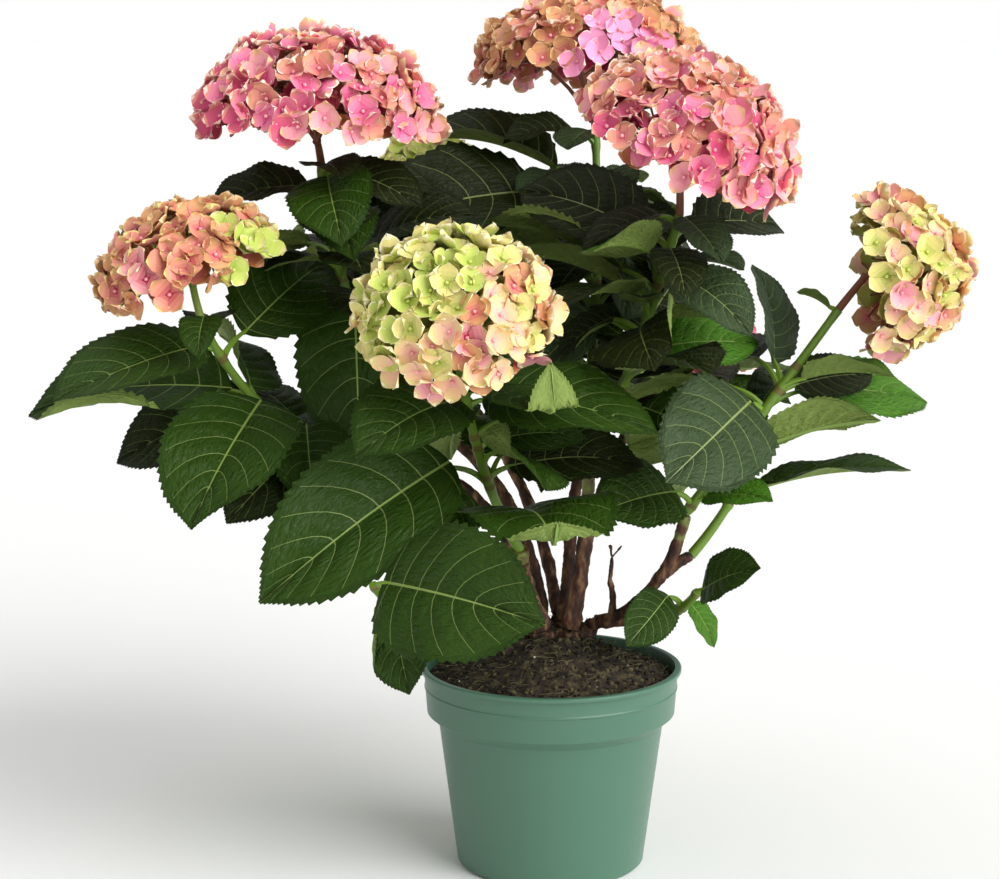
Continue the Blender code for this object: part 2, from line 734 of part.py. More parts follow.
def dome_point(bloom, pole, turn, share=1):
    """A point on the head's dome, at an angle from its axis and round it, in degrees."""
    axis, across, side = bloom_axes(bloom)
    pole = radians(pole)
    turn = radians(turn)
    up = axis * bloom.height * cos(pole)
    out = (cos(turn) * across + sin(turn) * side) * bloom.radius * sin(pole)
    return np.array(bloom.centre) + share * (up + out)


def dome_skin(bloom, share, rings):
    """The points and faces of the dome down to the last ring, open underneath."""
    verts = [dome_point(bloom, 0, 0, share)]
    for pole in rings:
        turns = [360 * side / SHELL_SIDES for side in range(SHELL_SIDES)]
        verts += [dome_point(bloom, pole, turn, share) for turn in turns]
    faces = []
    for side in range(SHELL_SIDES):
        after = (side + 1) % SHELL_SIDES
        faces.append((0, 1 + side, 1 + after))
        for ring in range(len(rings) - 1):
            low = 1 + SHELL_SIDES * ring
            high = low + SHELL_SIDES
            faces.append((low + side, low + after, high + after, high + side))
    return verts, faces


def dome(bloom, share):
    """The closed outer form of a head, with a flat underside."""
    verts, faces = dome_skin(bloom, share, (30, 60, 90, BLOOM_EDGE))
    faces.append(tuple(range(len(verts) - SHELL_SIDES, len(verts))))
    return verts, faces


def in_shell(bloom, depth):
    """The share of the dome that lies the given part of the shell's thickness under its outside."""
    return SHELL - depth * SHELL_THICKNESS / bloom.radius


def shell(bloom):
    """The thin cup of short stalks that the florets stand on, open underneath."""
    verts, faces = dome_skin(bloom, in_shell(bloom, 0), SHELL_RINGS)
    inner_verts, inner_faces = dome_skin(bloom, in_shell(bloom, 1), SHELL_RINGS)
    count = len(verts)
    faces += [tuple(count + corner for corner in face) for face in inner_faces]
    edge = count - SHELL_SIDES
    for side in range(SHELL_SIDES):
        after = (side + 1) % SHELL_SIDES
        faces.append((edge + side, edge + after, count + edge + after, count + edge + side))
    return verts + inner_verts, faces


def floret_places(bloom):
    """Even places over the dome on a golden spiral, as (pole, turn) angles."""
    lowest = cos(radians(FLORET_EDGE))
    for index in range(bloom.florets):
        level = 1 - (1 - lowest) * (index + 0.4) / bloom.florets
        yield np.degrees(np.arccos(level)), GOLDEN_ANGLE * index


def floret_width(bloom):
    """The width at which the florets of a head just keep clear of each other."""
    area = 2 * pi * bloom.radius * bloom.height * (1 - cos(radians(BLOOM_EDGE)))
    return FLORET_SPACING * sqrt(area / bloom.florets)


def floret(bloom, pole, turn, random):
    """A four-petalled floret, as a square cup whose point is sunk in the shell."""
    centre = dome_point(bloom, pole, turn, FLORET_SHARE)
    pin = dome_point(bloom, min(pole, PIN_EDGE), turn, in_shell(bloom, PIN_DEPTH))
    axis, across, side = bloom_axes(bloom)
    offset = centre - np.array(bloom.centre)
    level = np.dot(offset, axis)
    out = unit(axis * level / bloom.height**2 + (offset - axis * level) / bloom.radius**2)
    first = unit(np.cross(out, (0.37, 0.21, -0.55)))
    second = np.cross(out, first)
    width = floret_width(bloom)
    spin = random.uniform(0, 90)
    verts = [centre - out * FLORET_CUP * width, pin]
    for corner in range(PETALS):
        angle = radians(360 * corner / PETALS + spin)
        verts.append(centre + 0.5 * width * (cos(angle) * first + sin(angle) * second))
    faces = []
    for corner in range(PETALS):
        after = (corner + 1) % PETALS
        faces += [(0, 2 + corner, 2 + after), (1, 2 + after, 2 + corner)]
    return verts, faces


def heart(bloom):
    """Where the stalk of a head divides into its branches."""
    axis, _, _ = bloom_axes(bloom)
    return np.array(bloom.centre) - axis * HEART_DEPTH * bloom.height


def flower_stalk(bloom):
    """The stalk from the shoot's tip to the heart of the head, clear of the shoot."""
    shoot = SHOOTS[bloom.shoot]
    way = unit(np.array(shoot.tip) - shoot.bend)
    start = np.array(shoot.tip) + way * GAP
    radius = SHOOT_TAPER * SHOOT_RADIUS
    return tube([start, heart(bloom)], [radius, 0.9 * radius], SHOOT_SIDES, way)


def make_blooms(random):
    for name, bloom in BLOOMS.items():
        shapes = [flower_stalk(bloom), shell(bloom)]
        root = heart(bloom) - 0.05 * bloom.height * bloom_axes(bloom)[0]
        for branch in range(BRANCHES):
            end = dome_point(bloom, BRANCH_POLE, 360 * branch / BRANCHES, in_shell(bloom, BRANCH_DEPTH))
            shapes.append(tube([root, end], [BRANCH_RADIUS] * 2, STALK_SIDES))
        for pole, turn in floret_places(bloom):
            shapes.append(floret(bloom, pole, turn, random))
        fuse(name, shapes, bloom.petals)


def main():
    for old in list(bpy.data.objects):
        bpy.data.objects.remove(old)
    random = np.random.default_rng(SEED)
    make_pot()
    make_soil(random)
    make_crown()
    make_canes()
    make_shoots()
    make_blooms(random)


if __name__ == "__main__":
    main()
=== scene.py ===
"""Potted mophead hydrangea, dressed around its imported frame.

Every piece is built by an operator of its own, in metres and in the frame's own axes. The leaves
and flower heads grow by the same seeded rules as the solids, and are carried finer here.
"""

from collections import namedtuple
from math import cos, pi, radians, sin, sqrt

import bpy
import numpy as np
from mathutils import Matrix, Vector
from mathutils.bvhtree import BVHTree


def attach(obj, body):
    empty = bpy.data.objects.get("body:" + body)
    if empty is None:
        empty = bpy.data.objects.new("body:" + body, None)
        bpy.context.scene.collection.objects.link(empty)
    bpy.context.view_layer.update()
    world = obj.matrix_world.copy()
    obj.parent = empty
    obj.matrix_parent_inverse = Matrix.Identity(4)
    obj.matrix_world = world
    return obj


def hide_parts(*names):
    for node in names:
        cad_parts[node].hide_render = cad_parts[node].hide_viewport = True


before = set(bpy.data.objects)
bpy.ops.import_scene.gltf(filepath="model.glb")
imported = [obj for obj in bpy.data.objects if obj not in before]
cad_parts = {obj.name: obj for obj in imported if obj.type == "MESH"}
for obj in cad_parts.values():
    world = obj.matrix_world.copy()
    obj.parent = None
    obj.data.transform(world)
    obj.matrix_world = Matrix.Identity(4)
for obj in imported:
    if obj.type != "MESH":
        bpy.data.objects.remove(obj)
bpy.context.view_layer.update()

bl_info = {
    "name": "Potted hydrangea",
    "version": (1, 0, 0),
    "blender": (4, 5, 0),
    "location": "3D View > Sidebar > Hydrangea",
    "description": "Builds a potted mophead hydrangea around its frame",
    "category": "Add Mesh",
}

GAP = 0.0003
SEED = 7
# Pot: a tapered wall, a shoulder, and a wider band that ends in a rolled rim.
POT_HEIGHT = 0.163
RIM_RADIUS = 0.105
RIM_HEIGHT = 0.004
RIM_LIP = 0.0028
RIM_ROUND = 0.0008
BAND_RADIUS = 0.0998
BAND_BOTTOM = 0.126
SHOULDER_RADIUS = 0.0905
SHOULDER_TOP = 0.118
BASE_RADIUS = 0.0755
FOOT_ROUND = 0.003
WALL = 0.0022
FLOOR = 0.0035
DRAIN_HOLES = 6
DRAIN_RADIUS = 0.0045
DRAIN_RING = 0.051
# Soil: fills the pot and rises to a flat pad under the crown.
SOIL_EDGE = 0.153
SOIL_TOP = 0.165
PAD_RADIUS = 0.046
# Crown: the flared woody foot that every cane grows from.
CROWN = np.array((0.006, 0.020, SOIL_TOP + GAP))
CROWN_RADIUS = 0.040
CROWN_HEIGHT = 0.012
CANE_FOOT = 0.190
# Each cane starts this share of the way from the middle of the crown to its own foot.
ROOT_SHARE = 0.7
LIMB_PLACES = 8
# Cane: offset of the foot from the crown, bend, tip, radius at the foot and at the tip.
Cane = namedtuple("Cane", "foot bend tip foot_radius tip_radius")
CANES = {
    "cane_" + name: Cane(*row)
    for name, *row in (
        ("front", (-0.013, -0.012), (-0.024, 0.002, 0.225), (-0.026, -0.018, 0.262), 0.0105, 0.0070),
        ("low_front", (-0.034, -0.001), (-0.066, -0.024, 0.215), (-0.098, -0.070, 0.240), 0.0060, 0.0044),
        ("middle", (0.009, -0.012), (0.028, 0.006, 0.245), (0.030, 0.000, 0.325), 0.0085, 0.0056),
        ("right", (0.025, 0.002), (0.092, -0.004, 0.210), (0.106, -0.008, 0.288), 0.0078, 0.0052),
        ("low_right", (0.030, 0.017), (0.076, 0.044, 0.186), (0.098, 0.026, 0.200), 0.0062, 0.0050),
        ("left", (-0.024, 0.014), (-0.022, 0.032, 0.285), (-0.110, 0.012, 0.330), 0.0070, 0.0046),
        ("upper_left", (-0.012, 0.026), (-0.018, 0.055, 0.300), (-0.100, 0.045, 0.355), 0.0065, 0.0046),
        ("top", (0.004, 0.011), (0.018, 0.050, 0.270), (0.030, 0.064, 0.360), 0.0062, 0.0048),
        ("back_left", (0.001, 0.035), (-0.006, 0.100, 0.285), (-0.070, 0.155, 0.355), 0.0060, 0.0045),
        ("back_right", (0.016, 0.030), (0.030, 0.075, 0.290), (0.078, 0.145, 0.345), 0.0060, 0.0045),
    )
}
CANE_SIDES = 8
# Side stub: a short fork fused to a cane, with its place on the cane, its tip and its radii.
Stub = namedtuple("Stub", "cane place tip foot_radius tip_radius")
STUBS = {
    "dead_snag": Stub("cane_right", 0.16, (0.049, 0.010, 0.250), 0.0034, 0.0014),
    "right_fork": Stub("cane_right", 0.62, (0.112, 0.004, 0.252), 0.0050, 0.0042),
}
# Shoot: the cane or stub it grows on from, its bend and its tip. Its foot is the tip of that.
Shoot = namedtuple("Shoot", "carrier bend tip")
SHOOTS = {
    "shoot_" + name: Shoot(*row)
    for name, *row in (
        ("front", "cane_front", (-0.057, -0.049, 0.319), (-0.072, -0.130, 0.430)),
        ("low_front", "cane_low_front", (-0.110, -0.136, 0.222), (-0.134, -0.168, 0.268)),
        ("left", "cane_left", (-0.217, -0.010, 0.325), (-0.266, -0.070, 0.446)),
        ("upper_left", "cane_upper_left", (-0.175, 0.045, 0.428), (-0.181, 0.010, 0.565)),
        ("middle", "cane_middle", (0.072, -0.014, 0.426), (0.095, -0.060, 0.530)),
        ("top", "cane_top", (0.042, 0.092, 0.462), (0.037, 0.104, 0.585)),
        ("right", "cane_right", (0.146, -0.024, 0.346), (0.221, -0.030, 0.454)),
        ("low_right", "right_fork", (0.136, 0.010, 0.278), (0.156, 0.010, 0.318)),
        ("right_foot", "cane_low_right", (0.108, 0.008, 0.206), (0.116, -0.014, 0.226)),
        ("back_left", "cane_back_left", (-0.105, 0.205, 0.400), (-0.099, 0.215, 0.490)),
        ("back_right", "cane_back_right", (0.104, 0.195, 0.345), (0.122, 0.224, 0.352)),
    )
}
SHOOT_RADIUS = 0.0042
SHOOT_TAPER = 0.75
SHOOT_SIDES = 6
# Leaf: shoot, place on its stem, heading, rise, roll (degrees), blade length, leafstalk length.
Leaf = namedtuple("Leaf", "shoot place heading rise roll length stalk")
LEAVES_BY_SHOOT = {
    "shoot_front": (
        (0.18, -145, -8, -35, 0.082, 0.030),
        (0.15, -76, 3, 4, 0.135, 0.036),
        (0.40, -148, -28, -45, 0.184, 0.045),
        (0.45, 2, 3, 32, 0.105, 0.020),
        (0.80, -130, -12, -25, 0.110, 0.015),
        (0.80, -16, -7, 28, 0.136, 0.015),
    ),
    "shoot_low_front": (
        (0.97, -41, -2, 58, 0.150, 0.010),
        (0.74, -74, -54, 30, 0.076, 0.014),
    ),
    "shoot_left": (
        (0.90, -148, -17, -20, 0.128, 0.015),
        (0.88, 55, 26, 36, 0.118, 0.030),
        (0.60, -108, -30, -15, 0.150, 0.030),
        (0.60, 176, -5, -25, 0.165, 0.040),
        (0.30, -125, -25, -35, 0.120, 0.030),
        (0.45, -177, -20, -35, 0.120, 0.045),
    ),
    "shoot_upper_left": (
        (0.90, -177, -10, -25, 0.080, 0.015),
        (0.90, 18, -5, 20, 0.078, 0.020),
        (0.74, -80, 4, 8, 0.100, 0.020),
        (0.50, -85, -66, 0, 0.135, 0.025),
    ),
    "shoot_middle": (
        (0.86, 157, 18, -40, 0.112, 0.022),
        (0.90, 25, -2, 35, 0.085, 0.020),
        (0.72, -39, -27, 25, 0.080, 0.020),
        (0.50, 172, -45, -50, 0.095, 0.040),
        (0.55, -20, -3, -10, 0.068, 0.020),
        (0.42, 5, 3, 40, 0.085, 0.020),
    ),
    "shoot_top": (
        (0.78, 172, 16, -12, 0.120, 0.040),
        (0.95, -161, -6, -20, 0.060, 0.025),
        (0.66, -165, -10, -38, 0.155, 0.060),
    ),
    "shoot_right": (
        (0.58, -128, -22, -48, 0.128, 0.020),
        (0.52, 22, -8, 30, 0.122, 0.045),
        (0.66, -22, 6, -12, 0.074, 0.025),
        (0.70, 103, 63, 45, 0.086, 0.025),
        (0.25, -14, 17, -50, 0.100, 0.040),
        (0.06, -134, -2, -45, 0.092, 0.025),
        (0.06, -38, 6, 25, 0.062, 0.015),
    ),
    "shoot_low_right": (
        (0.65, 4, 7, -6, 0.132, 0.020),
    ),
    "shoot_right_foot": (
        (0.42, -130, -30, -52, 0.062, 0.024),
        (0.94, -48, 26, 55, 0.066, 0.008),
        (0.25, -12, -60, 25, 0.042, 0.012),
    ),
}
LEAVES = [Leaf(shoot, *leaf) for shoot, leaves in LEAVES_BY_SHOOT.items() for leaf in leaves]
LIMB_MARGIN = 1.15
DOME_MARGIN = 1.02
BLADE_MARGIN = 1.6
BLADE_WIDTH = 0.68
BLADE_THICKNESS = 0.0020
BLADE_FOLD = 12
BLADE_ARCH = 0.055
STALK_RISE = 35
STALK_RADIUS = 0.0020
STALK_SIDES = 3
STALK_TAPER = 0.8
STALK_SINK = 0.05
# Places along the blade, and the share of the full width there.
BLADE_STATIONS = ((0.0, 0.16), (0.24, 0.94), (0.62, 0.82))
# Leaf pairs that face each other, turned a quarter from node to node: shoot, first heading, nodes.
PAIRS = {
    "shoot_back_left": (60, (0.20, 0.45, 0.70, 0.95)),
    "shoot_back_right": (100, (0.15, 0.45, 0.75, 0.95)),
    "shoot_top": (75, (0.15, 0.38)),
    "shoot_middle": (70, (0.25,)),
    "shoot_upper_left": (100, (0.15, 0.34, 0.62)),
    "shoot_left": (60, (0.12,)),
}
PAIR_LENGTH = 0.130
PAIR_STALK = 0.030
PAIR_SHRINK = 0.25
PAIR_RISE = (-8, 12)
# Filling leaves: how many each shoot has room for, and the stretch of its stem that they sit on.
FILL = {
    "shoot_front": (4, 0.35, 0.85),
    "shoot_left": (6, 0.10, 0.80),
    "shoot_upper_left": (12, 0.12, 0.95),
    "shoot_middle": (11, 0.12, 0.95),
    "shoot_top": (12, 0.08, 0.95),
    "shoot_right": (8, 0.30, 0.80),
    "shoot_low_right": (2, 0.50, 1.00),
    "shoot_back_left": (9, 0.10, 0.95),
    "shoot_back_right": (9, 0.10, 0.95),
}
FILL_TRIES = 160
GOLDEN_ANGLE = 137.5
FILL_LENGTH = (0.085, 0.125)
FILL_STALK = (0.018, 0.040)
FILL_RISE = (-38, 20)
FILL_ROLL = (-35, 35)
# Filling leaves keep inside this rounded crown and out of these boxes of open air.
CROWN_CENTRE = np.array((-0.020, 0.045, 0.405))
CROWN_REACH = np.array((0.300, 0.260, 0.180))
OPEN_AIR = (
    ((-0.030, -0.300, 0.160), (0.170, 0.040, 0.300)),
    ((-0.245, -0.300, 0.385), (-0.190, 0.300, 0.455)),
    ((0.150, -0.300, 0.430), (0.220, 0.300, 0.560)),
)
# Flower head: the shoot under it, centre, heading and rise of its axis, radius, height and slot.
Bloom = namedtuple("Bloom", "shoot centre heading rise radius height petals")
BLOOMS = {
    "bloom_" + name: Bloom(*row)
    for name, *row in (
        ("upper_left", "shoot_upper_left", (-0.183, 0.000, 0.590), 0, 88, 0.102, 0.081, "petal_rose"),
        ("top", "shoot_top", (0.033, 0.128, 0.632), 110, 84, 0.098, 0.070, "petal_peach"),
        ("top_right", "shoot_middle", (0.095, -0.080, 0.575), -40, 58, 0.092, 0.076, "petal_rose"),
        ("left", "shoot_left", (-0.277, -0.060, 0.484), 205, 68, 0.074, 0.055, "petal_peach"),
        ("centre", "shoot_front", (-0.074, -0.150, 0.462), -92, 48, 0.076, 0.060, "petal_lime"),
        ("right", "shoot_right", (0.250, -0.022, 0.480), 0, 6, 0.065, 0.075, "petal_cream"),
        ("back_left", "shoot_back_left", (-0.099, 0.222, 0.528), 80, 72, 0.056, 0.045, "petal_lime"),
        ("back_right", "shoot_back_right", (0.134, 0.252, 0.386), 60, 55, 0.053, 0.043, "petal_rose"),
    )
}
BLOOM_EDGE = 98
SHELL_SIDES = 14
HEART_DEPTH = 0.10

# What is finer here than in the solids

# Pot: a raised line under the rim.
LINE_DROP = 0.0165
LINE_RISE = 0.0007
LINE_WIDTH = 0.0012
POT_SIDES = 96
DRAIN_SIDES = 24

# Soil: a mound with lumps, crumbs, fibres and pale grit on its top. Each relief is a size of
# lump and how high it stands.
SOIL_SIDES = 96
SOIL_RINGS = 16
SOIL_MOUND = 0.020
MOUND_RADIUS = 0.068
SOIL_RELIEF = ((0.016, 0.0100), (0.005, 0.0056), (0.0018, 0.0024))
CRUMBS = 2000
CRUMB_SIZE = (0.0006, 0.0026)
FIBRES = 420
FIBRE_LENGTH = (0.008, 0.022)
FIBRE_RADIUS = (0.00018, 0.00042)
FIBRE_RISE = (-8, 16)
FIBRE_BEND = 0.0036
MOSS_SHARE = 0.55
CRUMB_SQUASH = (0.55, 1.2)
CRUMB_DENT = 0.25
CRUMB_SINK = 0.25
GRITS = 46
GRIT_SIZE = (0.0006, 0.0013)

# Crown: shares of its radius from the foot up, swell of the roots, and its relief.
CROWN_SIDES = 24
CROWN_LUMP = (0.84, 0.64, 0.34)
ROOT_SIDES = 12
ROOT_SWELL = (1.35, 1.12, 1.02)
CROWN_VOXEL = 0.0015
CROWN_RELIEF = ((0.009, 0.0040), (0.0028, 0.0016))

# Canes: rings of old leaf scars, and green young wood from a place near the top.
CANE_STEPS = 36
SLIMMER_FEET = {"cane_right": 0.0055}
CANE_RING = 0.030
CANE_RING_SHIFT = 0.004
CANE_RING_WIDTH = 0.0030
CANE_SLIM = 0.93
CANE_RING_SWELL = 0.22
CANE_SWAY = 0.10
CANE_SIDES_FINE = 9
YOUNG_FROM = 0.86
# Size of the bark's relief, and its share of the depth.
BARK_RELIEF = ((0.008, 1), (0.0022, 0.6))
TWIGLET_STEPS = (0, 0.3, 0.6, 0.85, 1)
TWIGLET_RADII = (0.0013, 0.0011, 0.0010)
STUB_STEPS = 12
STUB_SWAY = np.array((0.0016, 0.00064, 0))
STUB_KNOTS = 0.16
# Twiglets at the end of the dead snag: foot, tip, and the knob that each ends in.
TWIGLETS = {
    "cane_right": (
        ((0.0489, 0.0100, 0.2490), (0.0478, 0.0104, 0.2590), 0.0021),
        ((0.0489, 0.0100, 0.2490), (0.0570, 0.0092, 0.2585), 0.0012),
    ),
}

# Leaves: one pattern of rows along the side veins and columns from the midrib to the margin.
BLADE_MAP = "blade_map"
NET_LENGTH = 13.0
NET_WIDTH = 9.0
LEAF_VEINS = (0.05, 0.15, 0.265, 0.385, 0.505, 0.625, 0.735, 0.835)
VEIN_SWEEP = 0.27
VEIN_HALF = 0.0028
VEIN_COLUMNS = (0.0001, 0.13, 0.30, 0.48, 0.66, 0.82, 0.94, 1.0)
BASE_ROWS = (0.006, 0.016, 0.030)
QUILT_SHARES = (0.32, 0.68)
QUILT = 0.0130
PUCKER = 0.0021
RIB_HALF = 0.0075
RIB_TAPER = 0.72
RIB_DEPTH = 0.005
RIB_SWELL = 2.5
TOOTH_LEAN = 0.74
TOOTH_DEPTH = 0.34
TOOTHED_FROM = 0.035
BLADE_THICK = 0.0005
# The blade's outline: places along it, and the share of its full width at each.
OUTLINE_PLACES = (
    *(0, 0.015, 0.05, 0.10, 0.17, 0.26, 0.35, 0.44),
    *(0.53, 0.63, 0.73, 0.82, 0.89, 0.945, 0.98, 1),
)
OUTLINE_SHARES = (
    *(0.03, 0.21, 0.44, 0.65, 0.83, 0.95, 0.995, 1.0),
    *(0.98, 0.93, 0.825, 0.655, 0.45, 0.225, 0.085, 0.01),
)
# Where a blade starts to droop, and how dished its folded halves are.
DROOP_FROM = 0.35
FOLD_EASE = 0.25
STALK_PLACES = 9
# Radius of a leafstalk from the stem to the blade, as (place, radius).
STALK_FORM = ((0, 0.0036), (0.16, 0.0027), (0.5, 0.0023), (1, 0.0016))
STEM_PLACES = 40
STEM_SIDES = 6
JOINT_SWELL = 0.28
JOINT_REACH = 0.0028
JOINT_WIDTH = 0.0024

# Form: fold along the midrib, height and number of the margin's waves, droop and twist of the
# tip, shade, creases, and width as a share of the usual one. The shade is the leaf's green: its
# deep tone is painted shade and its grey-blue one a painted sheen. A listed leaf is of the middle
# shade unless its form says otherwise.
Form = namedtuple("Form", "fold ripple waves droop twist shade creases width")
# Crease: a point on it, its way along the blade and how far what lies to its left is folded over.
Crease = namedtuple("Crease", "x y way turn")
CREASE_ROUND = 0.022
FORMS = {
    1: {"fold": 12, "creases": (Crease(0.80, 0, -90, 70),), "droop": 0.5, "width": 1.3},
    2: {"fold": 22, "droop": 0.16, "twist": -6, "width": 0.86},
    3: {"shade": "deep"},
    4: {"fold": 14},
    5: {"fold": 10, "twist": -20},
    6: {"fold": 9, "droop": 0.10},
    7: {"fold": 14, "creases": (Crease(0.5, -0.22, 172, 130),)},
    8: {"fold": 12, "droop": -0.06},
    9: {"fold": 10, "droop": 0.1},
    10: {"fold": 14, "droop": 0.02},
    11: {"fold": 14, "creases": (Crease(0.70, 0.17, -18, 150),)},
    14: {"fold": 20, "shade": "deep"},
    16: {"fold": 24, "droop": 0.45},
    17: {"fold": 10},
    18: {"shade": "deep", "fold": 12},
    19: {"shade": "deep", "droop": 0.2},
    20: {"shade": "bluish", "droop": 0.25},
    22: {"shade": "bright", "fold": 22, "creases": (Crease(0.45, -0.16, 176, 140),)},
    23: {"shade": "bright"},
    24: {"fold": 34, "shade": "deep"},
    26: {"shade": "deep", "fold": 14, "ripple": 0.02},
    27: {"shade": "bluish", "fold": 8, "droop": -0.05},
    28: {"shade": "bright", "fold": 8, "droop": 0.0},
    29: {"shade": "bright", "fold": 34, "droop": 0.1},
    30: {"shade": "bluish", "fold": 18, "droop": 0.2},
    31: {"fold": 30, "droop": 0.10, "width": 0.6},
    32: {"fold": 14},
    33: {"shade": "bright"},
    34: {"fold": 10, "droop": 0.02, "twist": 14, "width": 0.8},
    35: {"fold": 6},
    36: {"fold": 16},
    37: {"shade": "bright", "fold": 10},
}
# The other leaves: ranges of their form.
FOLD_RANGE = (6, 24)
RIPPLE_RANGE = (0.006, 0.024)
WAVES_RANGE = (1.6, 3.0)
DROOP_RANGE = (0.02, 0.24)
TWIST_SPREAD = 7
WIDTH_RANGE = (0.92, 1.04)
# Share of the other leaves that have a margin turned over, and the range of that turn.
CREASED_SHARE = 0.35
CREASE_TURN = (50, 140)
# The other leaves: height from which they take the deep tone, which is painted shade, and
# shares of bright ones and of grey-blue ones, whose tone is a painted sheen.
PAINTED_SHADE_FROM = 0.30
PAINTED_SHADE_SPAN = 0.22
BRIGHT_SHARE = 0.04
PAINTED_SHEEN_SHARE = 0.3
# Leaves that are pruned off, by the place on their stem, where a larger leaf has their light.
PRUNED = {"shoot_right": (0.77, 0.63)}
# Young leaves between the large ones: those that are placed, and how many more each shoot may have.
YOUNG_LEAVES = [
    Leaf(*leaf)
    for leaf in (
        ("shoot_upper_left", 0.97, -75, -4, 10, 0.072, 0.012),
        ("shoot_upper_left", 0.95, -140, -20, -20, 0.070, 0.012),
        ("shoot_upper_left", 0.95, -25, -18, 20, 0.080, 0.014),
        ("shoot_upper_left", 0.84, -110, -35, -10, 0.085, 0.018),
        ("shoot_upper_left", 0.80, -35, -30, 15, 0.085, 0.018),
        ("shoot_right", 0.99, 150, 25, 30, 0.030, 0.006),
        ("shoot_middle", 0.96, -160, -20, -10, 0.070, 0.015),
        ("shoot_middle", 0.96, -60, -30, 10, 0.060, 0.012),
        ("shoot_top", 0.97, -110, -10, 0, 0.062, 0.015),
        ("shoot_front", 0.97, 160, -5, 0, 0.060, 0.012),
        ("shoot_front", 0.62, 95, 20, 0, 0.080, 0.020),
        ("shoot_left", 0.97, 95, 0, 0, 0.060, 0.012),
        ("shoot_front", 0.85, -50, -8, 0, 0.125, 0.012),
        ("shoot_left", 0.70, 110, 20, 40, 0.100, 0.012),
        ("shoot_left", 0.97, -90, -25, 0, 0.050, 0.030),
        ("shoot_right", 0.60, 20, 5, 40, 0.070, 0.030),
        ("shoot_upper_left", 0.90, -80, -25, 20, 0.100, 0.030),
    )
]
YOUNG_FORMS = {
    12: {"creases": (Crease(0.70, 0, -90, 105),), "fold": 4, "droop": 0.0, "twist": 0, "width": 0.7},
    14: {"shade": "middle", "creases": (), "droop": 0.25},
    15: {"shade": "deep", "creases": ()},
    16: {"shade": "middle", "creases": (), "droop": 0.1, "fold": 16},
}
YOUNG_FILL = {
    "shoot_front": 5,
    "shoot_left": 6,
    "shoot_upper_left": 14,
    "shoot_middle": 14,
    "shoot_top": 10,
    "shoot_low_right": 2,
    "shoot_back_left": 8,
    "shoot_back_right": 8,
}
YOUNG_TRIES = 90
YOUNG_LENGTH = (0.050, 0.085)
YOUNG_STALK = (0.012, 0.034)
# How far the upper face of a filling young leaf looks out of the crown.
OUTWARD = 0.02

# Sepal: rows from its claw to its tip as (place, half width), in shares of its length.
SEPAL_ROWS = (
    (0.0, 0.08),
    (0.15, 0.27),
    (0.36, 0.49),
    (0.58, 0.56),
    (0.76, 0.455),
    (0.90, 0.25),
    (1.0, 0.02),
)
SEPAL_COLUMNS = (-1.0, -0.86, -0.34, 0.34, 0.86, 1.0)
SEPAL_BACK = (0, 2, 3, 5)
SEPAL_ROUND = 0.06
SEPAL_THICK = 0.00035
SEPAL_ZONES = ("heart", "inner", "fade", "middle", "outer", "rim")
BUD_RADIUS = 0.0017
FLORET_TOP = 0.885
FLORET_LOWEST = 88
FLORET_SIZE = 0.0139
# Florets of each head, as many as cover it.
FLORETS = {
    "bloom_upper_left": 150,
    "bloom_top": 138,
    "bloom_top_right": 136,
    "bloom_left": 80,
    "bloom_centre": 92,
    "bloom_right": 88,
    "bloom_back_left": 46,
    "bloom_back_right": 44,
}
# How far from its axis the florets of a rounder or flatter head reach, in degrees.
LOWEST_OF = {"bloom_right": 94, "bloom_centre": 91, "bloom_top_right": 80}
# A floret: ranges of its cup and dish.
FLORET_CUP = (0.10, 0.50)
FLORET_DISH = (0.05, 0.32)
# Its sepals: ranges of their turn, length, own cup, ruffle, curl and tilt, the place where the curl
# starts, and how far every second one lies above its neighbours.
SEPAL_TURN = (-7, 7)
SEPAL_LENGTH = (0.90, 1.08)
SEPAL_CUP = (-0.18, 0.26)
SEPAL_RUFFLE = (0.02, 0.07)
SEPAL_CURL = (0, 0.5)
SEPAL_TILT = (-0.15, 0.15)
CURL_FROM = 0.66
SEPAL_LAP = 0.11
BUD_LIFT = 0.0012
# Layers of florets: share of the dome, which part of the head's number, turn and size.
FLORET_LAYERS = ((FLORET_TOP, 1, 0.0, 1.0), (0.76, 2, 40.0, 0.95))
FLORET_SHIFT = (-0.045, 0.025)
FLORET_TURN = (-5, 5)
FLORET_TIP = (-3, 3)
FLORET_LEAN = 0.30
FLORET_GROWTH = (0.88, 1.10)
LIMBS_PER_HEAD = 7
LIMB_REACH = 0.52
LIMB_POLES = (14, 38, 66)
LIMB_RADII = (0.0022, 0.0014)
TWIG_RADII = (0.0010, 0.0008, 0.0009)
STRAY_RADII = (0.0011, 0.0009, 0.0009)
TWIG_SINK = 0.0004
SAP_GREEN = (0.06, 0.12, 0.02)
BLUSH_HEADS = ("bloom_upper_left", "bloom_top", "bloom_top_right", "bloom_right", "bloom_back_right")
# How far under the heart of a head its branches part.
FORK_DROP = {"bloom_top": 0.034}
# Painted shade: the darker blend that the florets of the inner layer take, by the blend over them.
PAINTED_SHADE_BLENDS = {
    **dict.fromkeys(("rose", "pink", "blush", "hot", "ruby", "wine"), "ruby"),
    **dict.fromkeys(("tan", "peach", "dust", "faded"), "rust"),
    **dict.fromkeys(("cream", "butter", "lime"), "olive"),
}
# A patch of one blend on a head: the blend, its place as a share of the radius, and its reach.
PATCHES = {
    "bloom_top": (("hot", (0.26, -0.84, 0.12), 0.42),),
    "bloom_centre": (("hot", (0.30, -0.45, -0.86), 0.20),),
}
# Florets that stand out of a head on longer stalks: place, way they face, and blend.
STRAYS = {
    "bloom_right": (
        ((0.254, -0.034, 0.540), (-0.3, -0.7, 0.6), "blush"),
        ((0.270, -0.036, 0.534), (0.1, -0.9, 0.4), "dust"),
    ),
}
